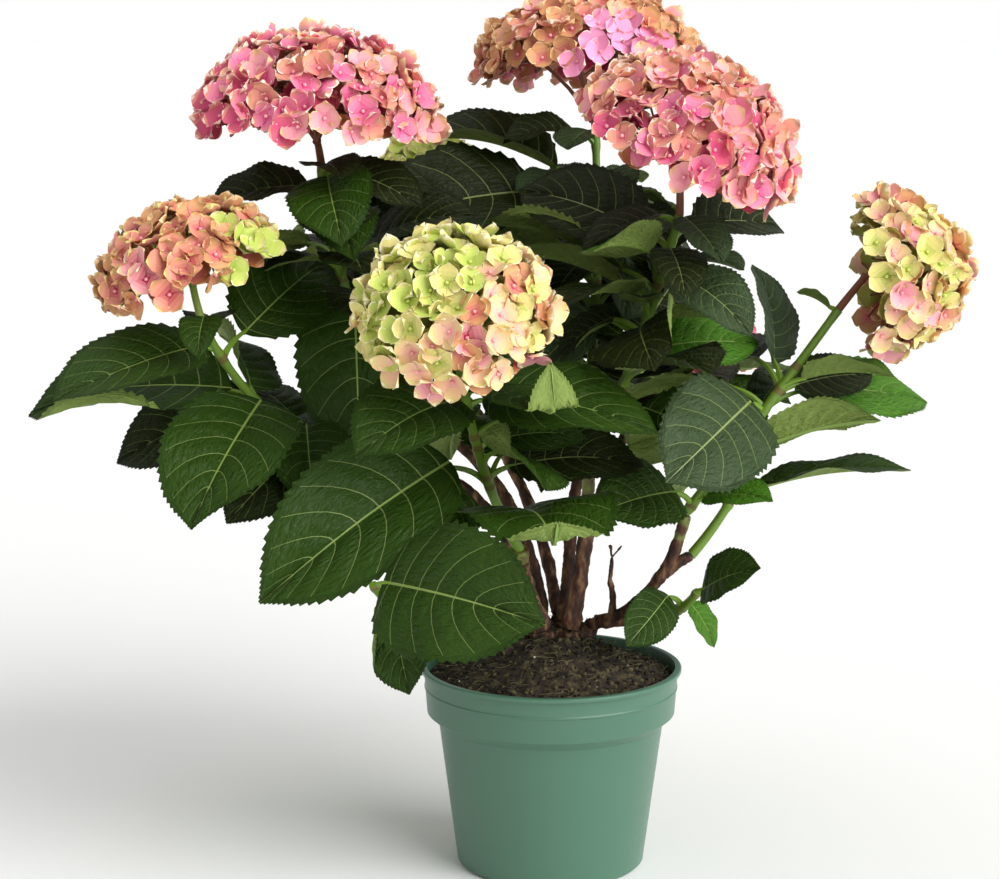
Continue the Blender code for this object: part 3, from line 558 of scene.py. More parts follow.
# Sepal colours at the heart of the floret, over most of it, near its edge and on its rim.
BLENDS = {
    "rose": ("magenta", "rose", "salmon", "shell"),
    "pink": ("magenta", "pink", "salmon", "shell"),
    "blush": ("pink", "blush", "peach", "cream"),
    "tan": ("rose", "salmon", "tan", "shell"),
    "peach": ("pink", "peach", "peach", "cream"),
    "dust": ("rose", "dust", "tan", "cream"),
    "cream": ("blush", "cream", "butter", "ivory"),
    "butter": ("green", "butter", "butter", "ivory"),
    "lime": ("green", "lime", "butter", "ivory"),
    "wine": ("wine", "blush", "cream", "ivory"),
    "faded": ("wine", "salmon", "dust", "butter"),
    "hot": ("hot", "hot", "hot", "shell"),
    # These three blends are painted shade: the darker tones of florets deep in a head.
    "ruby": ("wine", "ruby", "rose", "salmon"),
    "rust": ("rose", "rust", "tan", "peach"),
    "olive": ("green", "olive", "butter", "butter"),
}
# Tints of each head: blend, weight, and the way in which it grows more common.
TINTS = {
    # On this head the pulls also paint shade and light: the darker blends grow more common towards the
    # lower left, where shade falls, and the paler blush and tan towards the lit upper right.
    "bloom_upper_left": (
        ("ruby", 0.0, (-0.5, 0, -0.5)),
        ("rose", 0.6, (-0.8, 0, -0.8)),
        ("pink", 0.8, (0, 0, 0)),
        ("blush", 0.5, (0.5, 0, 0.4)),
        ("tan", 0.3, (0.3, 0, 0.9)),
    ),
    "bloom_top": (
        ("dust", 0.8, (-0.2, 0, 0)),
        ("tan", 0.3, (-0.3, 0, 0)),
        ("blush", 0.5, (0, 0, -0.3)),
        ("peach", 0.6, (0.3, 0, 0.2)),
        ("butter", -0.3, (0.3, 0, 0.7)),
    ),
    "bloom_top_right": (
        ("pink", 0.8, (0, 0, -0.3)),
        ("rose", 0.4, (-0.4, 0, -0.3)),
        ("blush", 0.5, (0.4, 0, 0.2)),
        ("tan", 0.3, (0.3, 0, 0.9)),
    ),
    "bloom_left": (
        ("faded", 1.2, (-0.6, 0, 0)),
        ("dust", 0.9, (-0.7, 0, 0)),
        ("wine", 0.2, (-0.2, 0, -0.3)),
        ("lime", -0.6, (2.2, 0, 0.3)),
        ("butter", -0.6, (1.2, 0, 0)),
        ("cream", -0.6, (1.3, 0, -0.4)),
    ),
    "bloom_centre": (
        ("lime", 0.2, (-1.0, 0, 0.9)),
        ("butter", 0.4, (-0.2, 0, 0.3)),
        ("cream", 0.6, (0.5, 0, -0.2)),
        ("dust", 0.2, (0.6, 0, -0.4)),
        ("wine", 0.0, (0.4, 0, -0.9)),
    ),
    "bloom_right": (
        ("butter", 0.6, (-0.2, 0, 0.4)),
        ("cream", 0.7, (0, 0, 0)),
        ("blush", 0.2, (0.3, 0, -0.5)),
        ("dust", 0.1, (0.6, 0, -0.2)),
    ),
    "bloom_back_left": (("lime", 1, (0, 0, 0.2)), ("butter", 0.4, (0, 0, 0))),
    "bloom_back_right": (("pink", 0.6, (0, 0, 0)), ("blush", 0.6, (0, 0, 0))),
}


# Stage: floor, lamps as (name, place, strength, angle), and camera.
FLOOR_RADIUS = 60
LAMPS = (
    ("key_light", (2.6, -2.1, 2.1), 3.7, 56),
    ("fill_light", (-2.4, -2.0, 1.2), 0.08, 60),
)
LAMP_AIM = Vector((0, 0, 0.35))
CAMERA_PLACE = (-0.041, -1.93, 0.68)
CAMERA_PITCH = 9.8
CAMERA_LENS = 88.9


# Shapes that the solids are made of


def unit(vector):
    return vector / np.linalg.norm(vector)


def direction(heading, rise):
    """The unit vector of a compass heading (0 is +X, 90 is +Y) and a rise above level, in degrees."""
    h = radians(heading)
    r = radians(rise)
    return np.array((cos(r) * cos(h), cos(r) * sin(h), sin(r)))


def bend_point(foot, bend, tip, place):
    """The point at a place from 0 to 1 along a limb that leaves its foot towards the bend."""
    foot, bend, tip = np.array(foot), np.array(bend), np.array(tip)
    return (1 - place) ** 2 * foot + 2 * place * (1 - place) * bend + place**2 * tip


def tube(points, radii, sides, start_way=None, end_way=None):
    """A closed tube through the points, with a flat cap at each end that is square to its way."""
    points = [np.array(point, float) for point in points]
    last = len(points) - 1
    along = [unit(points[min(i + 1, last)] - points[max(i - 1, 0)]) for i in range(len(points))]
    if start_way is not None:
        along[0] = start_way
    if end_way is not None:
        along[-1] = end_way
    across = unit(np.cross(along[0], (0.31, 0.87, 0.39)))
    verts = []
    for point, way, radius in zip(points, along, radii):
        across = unit(across - way * np.dot(across, way))
        up = np.cross(way, across)
        for side in range(sides):
            angle = 2 * pi * side / sides
            verts.append(point + radius * (cos(angle) * across + sin(angle) * up))
    faces = [tuple(range(sides))]
    for ring in range(len(points) - 1):
        for side in range(sides):
            next_side = (side + 1) % sides
            low = ring * sides
            faces.append((low + side, low + next_side, low + sides + next_side, low + sides + side))
    faces.append(tuple(range(len(verts) - sides, len(verts))))
    return verts, faces


def outer_wall():
    """The pot's outer (radius, height) profile, from the foot to the rim."""
    return [
        (BASE_RADIUS - FOOT_ROUND, 0),
        (BASE_RADIUS, FOOT_ROUND),
        (SHOULDER_RADIUS, SHOULDER_TOP),
        (BAND_RADIUS, BAND_BOTTOM),
        (RIM_RADIUS - RIM_LIP, POT_HEIGHT - RIM_HEIGHT),
        (RIM_RADIUS, POT_HEIGHT - RIM_HEIGHT + RIM_ROUND),
        (RIM_RADIUS, POT_HEIGHT - RIM_ROUND),
        (RIM_RADIUS - RIM_ROUND, POT_HEIGHT),
    ]


def inner_wall():
    """The pot's inner profile, from the rim down to the floor."""
    return [
        (RIM_RADIUS - RIM_LIP - WALL, POT_HEIGHT),
        (BAND_RADIUS - WALL, BAND_BOTTOM + 0.001),
        (SHOULDER_RADIUS - WALL, SHOULDER_TOP + 0.001),
        (BASE_RADIUS - WALL, FLOOR + FOOT_ROUND),
        (BASE_RADIUS - WALL - FOOT_ROUND, FLOOR),
    ]


def wall_radius(height):
    profile = sorted((z, r) for r, z in inner_wall())
    return float(np.interp(height, [z for z, _ in profile], [r for _, r in profile]))


def cane_foot(cane):
    return np.array((CROWN[0] + cane.foot[0], CROWN[1] + cane.foot[1], CANE_FOOT))


def cane_point(cane, place):
    return bend_point(cane_foot(cane), cane.bend, cane.tip, place)


def carrier_end(name):
    """Tip, outward direction and tip radius of the cane or stub that a shoot grows on from."""
    if name in CANES:
        cane = CANES[name]
        return np.array(cane.tip), unit(np.array(cane.tip) - cane.bend), cane.tip_radius
    stub = STUBS[name]
    foot = cane_point(CANES[stub.cane], stub.place)
    return np.array(stub.tip), unit(np.array(stub.tip) - foot), stub.tip_radius


def cane_tube(cane, swell=1):
    places = np.linspace(0, 1, LIMB_PLACES)
    points = [cane_point(cane, place) for place in places]
    taper = cane.tip_radius - cane.foot_radius
    return tube(points, [swell * (cane.foot_radius + taper * place) for place in places], CANE_SIDES)


def shoot_foot(shoot):
    """The shoot's foot, clear of the end of its cane."""
    tip, way, _ = carrier_end(shoot.carrier)
    return tip + way * GAP


def shoot_point(shoot, place):
    return bend_point(shoot_foot(shoot), shoot.bend, shoot.tip, place)


def stem_radius(shoot, place):
    """The stem's radius at a place from 0 to 1 along it."""
    _, _, cane_radius = carrier_end(shoot.carrier)
    return min(SHOOT_RADIUS, cane_radius) * (1 - (1 - SHOOT_TAPER) * place)


def stalk_start(shoot):
    """The way that a shoot ends in, and where a flower stalk starts, clear of its tip."""
    way = unit(np.array(shoot.tip) - shoot.bend)
    return way, np.array(shoot.tip) + way * GAP


def shoot_stem(shoot):
    """The stem's tube. Its first ring is square to the end of its cane."""
    _, way, _ = carrier_end(shoot.carrier)
    places = np.linspace(0, 1, LIMB_PLACES)
    points = [shoot_point(shoot, place) for place in places]
    return tube(points, [stem_radius(shoot, place) for place in places], SHOOT_SIDES, way)


def leaf_axes(leaf):
    """Unit vectors along the blade, across it to the left, and out of its upper face."""
    along = direction(leaf.heading, leaf.rise)
    level = direction(leaf.heading + 90, 0)
    up = np.cross(along, level)
    roll = radians(leaf.roll)
    return along, cos(roll) * level + sin(roll) * up, cos(roll) * up - sin(roll) * level


def leaf_base(leaf):
    root = shoot_point(SHOOTS[leaf.shoot], leaf.place)
    return root + leaf.stalk * direction(leaf.heading, STALK_RISE)


def blade(leaf, thickness):
    """A thin blade of four-point sections: left edge, upper face, right edge, lower face."""
    base = leaf_base(leaf)
    along, left, up = leaf_axes(leaf)
    verts = []
    for place, share in BLADE_STATIONS:
        middle = base + leaf.length * (along * place + up * 4 * BLADE_ARCH * place * (1 - place))
        half = 0.5 * BLADE_WIDTH * leaf.length * share
        edge = middle + up * half * sin(radians(BLADE_FOLD))
        thick = up * 0.5 * thickness
        verts += [edge + left * half, middle + thick, edge - left * half, middle - thick]
    verts.append(base + along * leaf.length)
    tip = len(verts) - 1
    faces = [(0, 1, 2, 3)]
    for station in range(len(BLADE_STATIONS) - 1):
        for corner in range(4):
            low = 4 * station + corner
            after = 4 * station + (corner + 1) % 4
            faces += [(low, after, after + 4), (low, after + 4, low + 4)]
    for corner in range(4):
        faces.append((tip - 4 + corner, tip - 4 + (corner + 1) % 4, tip))
    return verts, faces


def stalk(leaf):
    """The leafstalk, sunk into the stem at one end and into the blade at the other."""
    along, _, _ = leaf_axes(leaf)
    root = shoot_point(SHOOTS[leaf.shoot], leaf.place)
    end = leaf_base(leaf) + along * STALK_SINK * leaf.length
    return tube([root, end], [STALK_RADIUS, STALK_TAPER * STALK_RADIUS], STALK_SIDES)


def paired_leaves():
    """Facing pairs of leaves, each pair turned a quarter from the one below and a little shorter."""
    for name, (heading, places) in PAIRS.items():
        for node, place in enumerate(places):
            for half in (0, 180):
                turned = heading + 90 * node + half
                rise = np.interp(place, (0, 1), PAIR_RISE)
                length = PAIR_LENGTH * (1 - PAIR_SHRINK * place)
                yield Leaf(name, place, turned, rise, 0, length, PAIR_STALK)


def filling_leaves(name, random, tries=FILL_TRIES, lengths=FILL_LENGTH, stalks=FILL_STALK):
    """Leaves to try on one shoot, dealt round its stem by the golden angle."""
    _, low, high = FILL[name]
    for turn in range(tries):
        yield Leaf(
            name,
            random.uniform(low, high),
            GOLDEN_ANGLE * turn,
            random.uniform(*FILL_RISE),
            random.uniform(*FILL_ROLL),
            random.uniform(*lengths),
            random.uniform(*stalks),
        )


def in_crown(points):
    """True when the points stay inside the rounded crown and out of the open air."""
    points = np.array(points)
    if (np.linalg.norm((points - CROWN_CENTRE) / CROWN_REACH, axis=1) > 1).any():
        return False
    for low, high in OPEN_AIR:
        if ((points > low) & (points < high)).all(axis=1).any():
            return False
    return True


def tree_of(shape):
    return BVHTree.FromPolygons([tuple(point) for point in shape[0]], shape[1])


class Space:
    """The room that stems, canes, flower heads and leaves already take up."""

    def __init__(self):
        self.stems = {name: tree_of(shoot_stem(shoot)) for name, shoot in SHOOTS.items()}
        self.fixed = [tree_of(cane_tube(cane, LIMB_MARGIN)) for cane in CANES.values()]
        self.fixed += [tree_of(dome(bloom, DOME_MARGIN)) for bloom in BLOOMS.values()]
        self.fixed += [tree_of(flower_stalk(bloom)) for bloom in BLOOMS.values()]
        self.leaves = []

    def take(self, leaf):
        """Adds the leaf and returns True, or returns False where it would touch something."""
        body = tree_of(blade(leaf, BLADE_MARGIN * BLADE_THICKNESS))
        foot = tree_of(stalk(leaf))
        other_stems = [tree for name, tree in self.stems.items() if name != leaf.shoot]
        other_leaves = [tree for name, tree in self.leaves if name != leaf.shoot]
        near = [*self.fixed, *self.stems.values(), *[tree for _, tree in self.leaves]]
        if any(body.overlap(tree) for tree in near):
            return False
        if any(foot.overlap(tree) for tree in [*self.fixed, *other_stems, *other_leaves]):
            return False
        self.leaves += [(leaf.shoot, body), (leaf.shoot, foot)]
        return True


def deal_leaves():
    """Gives each shoot the leaves that stay clear of every stem, cane, flower head and earlier leaf."""
    random = np.random.default_rng(SEED)
    space = Space()
    dealt = {name: [] for name in SHOOTS}
    for leaf in LEAVES:
        if space.take(leaf):
            dealt[leaf.shoot].append(leaf)
    for leaf in paired_leaves():
        if in_crown(blade(leaf, BLADE_THICKNESS)[0]) and space.take(leaf):
            dealt[leaf.shoot].append(leaf)
    for name, (wanted, _, _) in FILL.items():
        filled = 0
        for leaf in filling_leaves(name, random):
            if filled < wanted and in_crown(blade(leaf, BLADE_THICKNESS)[0]) and space.take(leaf):
                dealt[name].append(leaf)
                filled += 1
    deal_young_leaves(dealt, space)
    return dealt


def faces_out(leaf):
    """True when the upper face of the leaf looks out of the crown."""
    _, _, up = leaf_axes(leaf)
    return np.dot(up, leaf_base(leaf) - CROWN_CENTRE) > OUTWARD


def deal_young_leaves(dealt, space):
    """Adds the small leaves that still find room between the large ones."""
    random = np.random.default_rng(SEED + 1)
    for leaf in YOUNG_LEAVES:
        if space.take(leaf):
            dealt[leaf.shoot].append(leaf)
    for name, wanted in YOUNG_FILL.items():
        for leaf in filling_leaves(name, random, YOUNG_TRIES, YOUNG_LENGTH, YOUNG_STALK):
            if wanted and faces_out(leaf) and in_crown(blade(leaf, BLADE_THICKNESS)[0]):
                if space.take(leaf):
                    dealt[name].append(leaf)
                    wanted -= 1


def bloom_axes(bloom):
    """Unit vectors along the head's axis and two ways across it."""
    axis = direction(bloom.heading, bloom.rise)
    across = unit(np.cross(axis, (0.29, -0.13, 0.41)))
    return axis, across, np.cross(axis, across)


def dome_point(bloom, pole, turn, share=1):
    """A point on the head's dome, at an angle from its axis and round it, in degrees."""
    axis, across, side = bloom_axes(bloom)
    pole = radians(pole)
    turn = radians(turn)
    up = axis * bloom.height * cos(pole)
    out = (cos(turn) * across + sin(turn) * side) * bloom.radius * sin(pole)
    return np.array(bloom.centre) + share * (up + out)


def dome_skin(bloom, share, rings):
    """The points and faces of the dome down to the last ring, open underneath."""
    verts = [dome_point(bloom, 0, 0, share)]
    for pole in rings:
        turns = [360 * side / SHELL_SIDES for side in range(SHELL_SIDES)]
        verts += [dome_point(bloom, pole, turn, share) for turn in turns]
    faces = []
    for side in range(SHELL_SIDES):
        after = (side + 1) % SHELL_SIDES
        faces.append((0, 1 + side, 1 + after))
        for ring in range(len(rings) - 1):
            low = 1 + SHELL_SIDES * ring
            high = low + SHELL_SIDES
            faces.append((low + side, low + after, high + after, high + side))
    return verts, faces


def dome(bloom, share):
    """The closed outer form of a head, with a flat underside."""
    verts, faces = dome_skin(bloom, share, (30, 60, 90, BLOOM_EDGE))
    faces.append(tuple(range(len(verts) - SHELL_SIDES, len(verts))))
    return verts, faces


def heart(bloom):
    """Where the stalk of a head divides into its branches."""
    axis, _, _ = bloom_axes(bloom)
    return np.array(bloom.centre) - axis * HEART_DEPTH * bloom.height


def flower_stalk(bloom):
    """The stalk from the shoot's tip to the heart of the head, clear of the shoot."""
    way, start = stalk_start(SHOOTS[bloom.shoot])
    radius = SHOOT_TAPER * SHOOT_RADIUS
    return tube([start, heart(bloom)], [radius, 0.9 * radius], SHOOT_SIDES, way)


# Colours and finishes


def tone(code):
    """The linear colour of a six-digit screen colour."""
    parts = [int(code[start : start + 2], 16) / 255 for start in (0, 2, 4)]
    return tuple(p / 12.92 if p <= 0.04045 else ((p + 0.055) / 1.055) ** 2.4 for p in parts)


def wire(tree, kind, **inputs):
    """A new shader node with its named sockets set to values or joined to other sockets."""
    node = tree.nodes.new(kind)
    for name, value in inputs.items():
        socket = node.inputs[name.replace("_", " ")]
        if isinstance(value, bpy.types.NodeSocket):
            tree.links.new(value, socket)
        else:
            socket.default_value = value
    return node


def node_of(tree, kind):
    """The first node of a kind in the tree."""
    return [node for node in tree.nodes if node.type == kind][0]


def map_on_piece(tree):
    """The place in the piece's own map, for patterns that follow its surface."""
    place = wire(tree, "ShaderNodeUVMap")
    place.uv_map = BLADE_MAP
    return place.outputs[0]


def set_stops(ramp, stops):
    """Sets a colour ramp's (place, colour) stops."""
    while len(ramp.color_ramp.elements) < len(stops):
        ramp.color_ramp.elements.new(0.5)
    for element, (place, colour) in zip(ramp.color_ramp.elements, stops):
        element.position = place
        element.color = (*colour, 1)


def finish_of(name, colour, roughness, grain=900, relief=0.15, depth=0.0004, stretch=(1, 1, 1), **more):
    """A finish of one plain colour, whose roughness and relief follow fine noise in the piece."""
    made = bpy.data.materials.get(name)
    if made:
        return made
    made = bpy.data.materials.new(name)
    made.use_nodes = True
    tree = made.node_tree
    shader = tree.nodes["Principled BSDF"]
    shader.inputs["Base Color"].default_value = (*colour, 1)
    made.diffuse_color = (*colour, 1)
    for socket, value in more.items():
        shader.inputs[socket.replace("_", " ")].default_value = value
    place = wire(tree, "ShaderNodeTexCoord")
    mapping = wire(tree, "ShaderNodeMapping", Vector=place.outputs["Object"], Scale=stretch)
    noise = wire(tree, "ShaderNodeTexNoise", Vector=mapping.outputs[0], Scale=grain, Detail=3.0)
    spread = wire(tree, "ShaderNodeMapRange", Value=noise.outputs[0])
    spread.inputs["To Min"].default_value = roughness - 0.08
    spread.inputs["To Max"].default_value = min(1, roughness + 0.10)
    bump = wire(tree, "ShaderNodeBump", Height=noise.outputs[0], Strength=relief, Distance=depth)
    tree.links.new(spread.outputs[0], shader.inputs["Roughness"])
    tree.links.new(bump.outputs[0], shader.inputs["Normal"])
    return made


def leaf_finish(name, colour, roughness, relief):
    """A leaf's finish: its finest veins are a net of low furrows that follows the blade."""
    made = finish_of(name, colour, roughness, grain=260, relief=0.1, Specular_IOR_Level=0.17)
    tree = made.node_tree
    shader = tree.nodes["Principled BSDF"]
    place = map_on_piece(tree)
    bump = node_of(tree, "BUMP")
    for scale, depth in ((1.0, 0.0012), (2.9, 0.0005)):
        net = wire(tree, "ShaderNodeTexVoronoi", Vector=place, Scale=scale)
        net.feature = "DISTANCE_TO_EDGE"
        rounded = wire(tree, "ShaderNodeMapRange", Value=net.outputs["Distance"])
        rounded.interpolation_type = "SMOOTHSTEP"
        rounded.inputs["From Max"].default_value = 0.34
        bump = wire(
            tree,
            "ShaderNodeBump",
            Height=rounded.outputs[0],
            Strength=relief,
            Distance=depth,
            Normal=bump.outputs[0],
        )
    tree.links.new(bump.outputs[0], shader.inputs["Normal"])
    return made


def mottled_finish(name, colours, roughness, grain, relief, depth, stretch=(1, 1, 1)):
    """A finish that runs through several colours with noise, for bark and soil."""
    made = finish_of(name, colours[0][1], roughness, grain, relief, depth, stretch)
    tree = made.node_tree
    place = node_of(tree, "MAPPING").outputs[0]
    noise = wire(tree, "ShaderNodeTexNoise", Vector=place, Scale=grain * 0.6, Detail=5.0)
    ramp = wire(tree, "ShaderNodeValToRGB", Fac=noise.outputs[0])
    set_stops(ramp, colours)
    tree.links.new(ramp.outputs[0], tree.nodes["Principled BSDF"].inputs["Base Color"])
    return made


# Making pieces


def alone():
    """Leaves edit mode and lets go of everything that is selected."""
    if bpy.context.mode != "OBJECT":
        bpy.ops.object.mode_set(mode="OBJECT")
    bpy.ops.object.select_all(action="DESELECT")


def pick(piece):
    """Selects the piece alone and makes it the active one."""
    alone()
    piece.select_set(True)
    bpy.context.view_layer.objects.active = piece


def settle(piece, name):
    """Names a piece and moves its place into its mesh."""
    pick(piece)
    bpy.ops.object.transform_apply(location=True, rotation=True, scale=True)
    piece.name = name
    piece.data.name = name
    return piece


def coat(piece, angle, *finishes):
    """Shades the piece smooth up to an angle between faces, and gives it its finishes."""
    pick(piece)
    bpy.ops.object.shade_smooth_by_angle(angle=radians(angle))
    piece.data.materials.clear()
    for finish in finishes:
        piece.data.materials.append(finish)


def apply_modifier(piece, kind, **settings):
    """Adds a modifier with its settings and applies it."""
    pick(piece)
    made = piece.modifiers.new(kind.lower(), kind)
    for name, value in settings.items():
        setattr(made, name, value)
    if kind == "SUBSURF":
        made.render_levels = made.levels
    bpy.ops.object.modifier_apply(modifier=made.name)


def roughen(piece, size, strength, **more):
    """Pushes the skin of a piece in and out by a cloudy relief of one size."""
    name = f"relief_{round(size * 1e5)}"
    texture = bpy.data.textures.get(name) or bpy.data.textures.new(name, "CLOUDS")
    texture.noise_scale = size
    texture.noise_depth = 2
    apply_modifier(piece, "DISPLACE", texture=texture, strength=strength, mid_level=0.5, **more)


def round_face(sides, radius, **place):
    """A new piece of one round face, which is left selected in edit mode."""
    alone()
    bpy.ops.mesh.primitive_circle_add(vertices=sides, radius=radius, fill_type="NGON", **place)
    piece = bpy.context.object
    bpy.ops.object.mode_set(mode="EDIT")
    bpy.ops.mesh.select_all(action="SELECT")
    return piece


def closed(piece, name):
    """Points the faces of the piece outwards, leaves edit mode and settles it."""
    bpy.ops.mesh.select_all(action="SELECT")
    bpy.ops.mesh.normals_make_consistent(inside=False)
    bpy.ops.object.mode_set(mode="OBJECT")
    return settle(piece, name)


def turned_solid(name, profile, sides):
    """A turned shape: a ring extruded and resized from (radius, height) to (radius, height)."""
    radius, height = profile[0]
    piece = round_face(sides, radius, location=(0, 0, height))
    for next_radius, next_height in profile[1:]:
        bpy.ops.mesh.extrude_region_move(TRANSFORM_OT_translate={"value": (0, 0, next_height - height)})
        grow = next_radius / radius
        bpy.ops.transform.resize(value=(grow, grow, 1), center_override=(0, 0, next_height))
        radius, height = next_radius, next_height
    return closed(piece, name)


def limb(name, points, radii, sides):
    """A limb: a round face extruded from point to point, and turned and resized at each."""
    points = [Vector(point) for point in points]
    way = (points[1] - points[0]).normalized()
    turned = way.to_track_quat("Z", "Y").to_euler()
    piece = round_face(sides, radii[0], location=points[0], rotation=turned)
    for step in range(1, len(points)):
        bpy.ops.mesh.extrude_region_move(
            TRANSFORM_OT_translate={"value": points[step] - points[step - 1]}
        )
        after = (points[min(step + 1, len(points) - 1)] - points[step - 1]).normalized()
        turn = way.rotation_difference(after).to_euler("XYZ")
        for axis, angle in zip("XYZ", turn):
            if abs(angle) > 1e-5:
                bpy.ops.transform.rotate(value=-angle, orient_axis=axis, center_override=points[step])
        grow = radii[step] / radii[step - 1]
        bpy.ops.transform.resize(value=(grow, grow, grow), center_override=points[step])
        way = after
    return closed(piece, name)


def joined(name, pieces):
    """Several pieces joined into one."""
    alone()
    for piece in pieces:
        piece.select_set(True)
    bpy.context.view_layer.objects.active = pieces[0]
    if len(pieces) > 1:
        bpy.ops.object.join()
    pieces[0].name = name
    pieces[0].data.name = name
    return pieces[0]


class Heap:
    """Many small shapes gathered into the arrays of one mesh, each face with its finish."""

    def __init__(self):
        self.points, self.faces, self.zones, self.places = [], [], [], []
        self.count = 0

    def add(self, points, faces, zones, places=None):
        """Adds a shape. zones is one finish name, or one for each face."""
        points = np.asarray(points, float)
        self.points.append(points)
        self.faces += [tuple(self.count + corner for corner in face) for face in faces]
        self.zones += [zones] * len(faces) if isinstance(zones, str) else list(zones)
        self.places.append(np.zeros((len(points), 2)) if places is None else places)
        self.count += len(points)

    def piece(self, name, finishes, sharp=45):
        """The heap as one object, with a slot for each finish that it uses."""
        mesh = bpy.data.meshes.new(name)
        mesh.from_pydata(np.concatenate(self.points).tolist(), [], self.faces)
        used = sorted(set(self.zones))
        for zone in used:
            mesh.materials.append(finishes[zone])
        slots = {zone: slot for slot, zone in enumerate(used)}
        mesh.polygons.foreach_set("material_index", [slots[zone] for zone in self.zones])
        corners = np.empty(len(mesh.loops), int)
        mesh.loops.foreach_get("vertex_index", corners)
        layer = mesh.uv_layers.new(name=BLADE_MAP)
        layer.data.foreach_set("uv", np.concatenate(self.places)[corners].ravel())
        made = bpy.data.objects.new(name, mesh)
        bpy.context.scene.collection.objects.link(made)
        mesh.shade_smooth()
        mesh.set_sharp_from_angle(angle=radians(sharp))
        return made


def hand_over(piece, slot, *nodes):
    """The piece rides on the frame and stands for its nodes. Its slot is not used."""
    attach(piece, "root")
    if nodes:
        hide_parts(*nodes)


# Leaves, finer


def rib_half(place):
    """Half the midrib's width at a place along the blade, as a share of the blade's length."""
    return RIB_HALF * (1 - RIB_TAPER * place)


def half_width(place):
    """Half the blade's width at a place along it, as a share of its length."""
    return 0.5 * BLADE_WIDTH * np.interp(place, OUTLINE_PLACES, OUTLINE_SHARES)


def margin_place(row):
    """How far along the blade a vein that leaves the midrib at a place meets the margin."""
    return row + VEIN_SWEEP * np.sin(pi * row) ** 0.9


def blade_rows():
    """Rows across the blade as (place on the midrib, side of a vein's middle, bulge beside it)."""
    rows = [(0.0, 0, 0)] + [(place, 0, 0) for place in BASE_ROWS]
    for vein, after in zip(LEAF_VEINS, (*LEAF_VEINS[1:], 1.0)):
        rows += [(vein, -1, 0), (vein, 1, 0)]
        rows += [(vein + share * (after - vein), 0, 1 if after < 1 else 0.5) for share in QUILT_SHARES]
    rows.append((1.0, 0, 0))
    return rows


class BladePattern:
    """The blade's flat pattern, in shares of its length: points, net, faces, zones and relief."""

    def __init__(self):
        self.rows = blade_rows()
        columns = [-c for c in reversed(VEIN_COLUMNS)] + list(VEIN_COLUMNS)
        self.width = len(columns)
        points = [self.point(row, column) for row in self.rows for column in columns]
        teeth, faces, self.zones = self.strips()
        tips = [self.tooth(np.array(points)[:, :2], *tooth) for tooth in teeth]
        for number, (inner, outer, next_inner, next_outer, zone) in enumerate(teeth):
            tip = len(points) + number
            faces += [(inner, outer, tip), (inner, tip, next_inner), (next_inner, tip, next_outer)]
            self.zones += [zone] * 3
        table = np.concatenate([points, tips])
        self.flat, self.net, self.bulge = table[:, :2], table[:, 2:4], table[:, 4]
        self.faces = [face if self.area(face) > 0 else face[::-1] for face in faces]
        grid = np.arange(len(points)).reshape(len(self.rows), self.width)
        edge = np.ones(len(table), bool)
        edge[grid[1:-1, 1:-1]] = False
        self.inner = np.flatnonzero(~edge)
        self.under = np.arange(len(table))
        self.under[self.inner] = len(table) + np.arange(len(self.inner))

    def point(self, row, column):
        """Place in the blade, place in the net of veins, and bulge, of one point of the pattern."""
        place, side, swell = row
        out = abs(column)
        start = min(max(place + side * VEIN_HALF * (1 - 0.65 * out), 0), 1)
        x = start + (margin_place(start) - start) * (0.18 * out + 0.82 * out**2)
        rib = rib_half(start)
        y = rib + max(half_width(margin_place(start)) - rib, 0) * out
        bulge = swell * sin(pi * out**0.75) if 0.01 < out < 1 else 0
        return (x, y if column > 0 else -y, NET_LENGTH * start, NET_WIDTH * column, bulge)

    def strips(self):
        """The ends of each strip of the grid, which carry teeth, and its other faces with zones."""
        teeth, faces, zones = [], [], []
        width = self.width
        for row in range(len(self.rows) - 1):
            on_vein = self.rows[row][1] == -1
            for column in range(width - 1):
                low = row * width + column
                zone = "rib" if column == width // 2 - 1 else "vein" if on_vein else "blade"
                if column == 0:
                    teeth.append((low + 1, low, low + 1 + width, low + width, "blade"))
                elif column == width - 2:
                    teeth.append((low, low + 1, low + width, low + 1 + width, "blade"))
                else:
                    faces.append((low, low + width, low + width + 1, low + 1))
                    zones.append(zone)
        return teeth, faces, zones

    def tooth(self, flat, inner, outer, next_inner, next_outer, zone):
        """The tip of the tooth between two points of the margin."""
        start, end = flat[outer], flat[next_outer]
        gap = end - start
        away = np.array((-gap[1], gap[0]))
        away = away if away[1] * start[1] > 0 else -away
        depth = TOOTH_DEPTH if start[0] > TOOTHED_FROM else 0
        tip = start + TOOTH_LEAN * gap + depth * away
        return (*tip, NET_LENGTH * tip[0], NET_WIDTH * np.sign(start[1]), 0)

    def area(self, face):
        x, y = self.flat[list(face)].T
        return np.dot(x, np.roll(y, -1)) - np.dot(y, np.roll(x, -1))


def creased(flat, creases):
    """Folds the flat pattern over along each crease: its new points, and how far each has risen."""
    flat = flat.copy()
    rise = np.zeros(len(flat))
    for crease in creases:
        way, turn = radians(crease.way), radians(crease.turn)
        out = np.array((-sin(way), cos(way)))
        beyond = np.maximum((flat - (crease.x, crease.y)) @ out, 0)
        bent = np.clip(beyond / CREASE_ROUND, 0, turn)
        rest = np.maximum(beyond - CREASE_ROUND * turn, 0)
        flat += np.outer(CREASE_ROUND * np.sin(bent) + rest * cos(turn) - beyond, out)
        rise += CREASE_ROUND * (1 - np.cos(bent)) + rest * sin(turn)
    return flat, rise


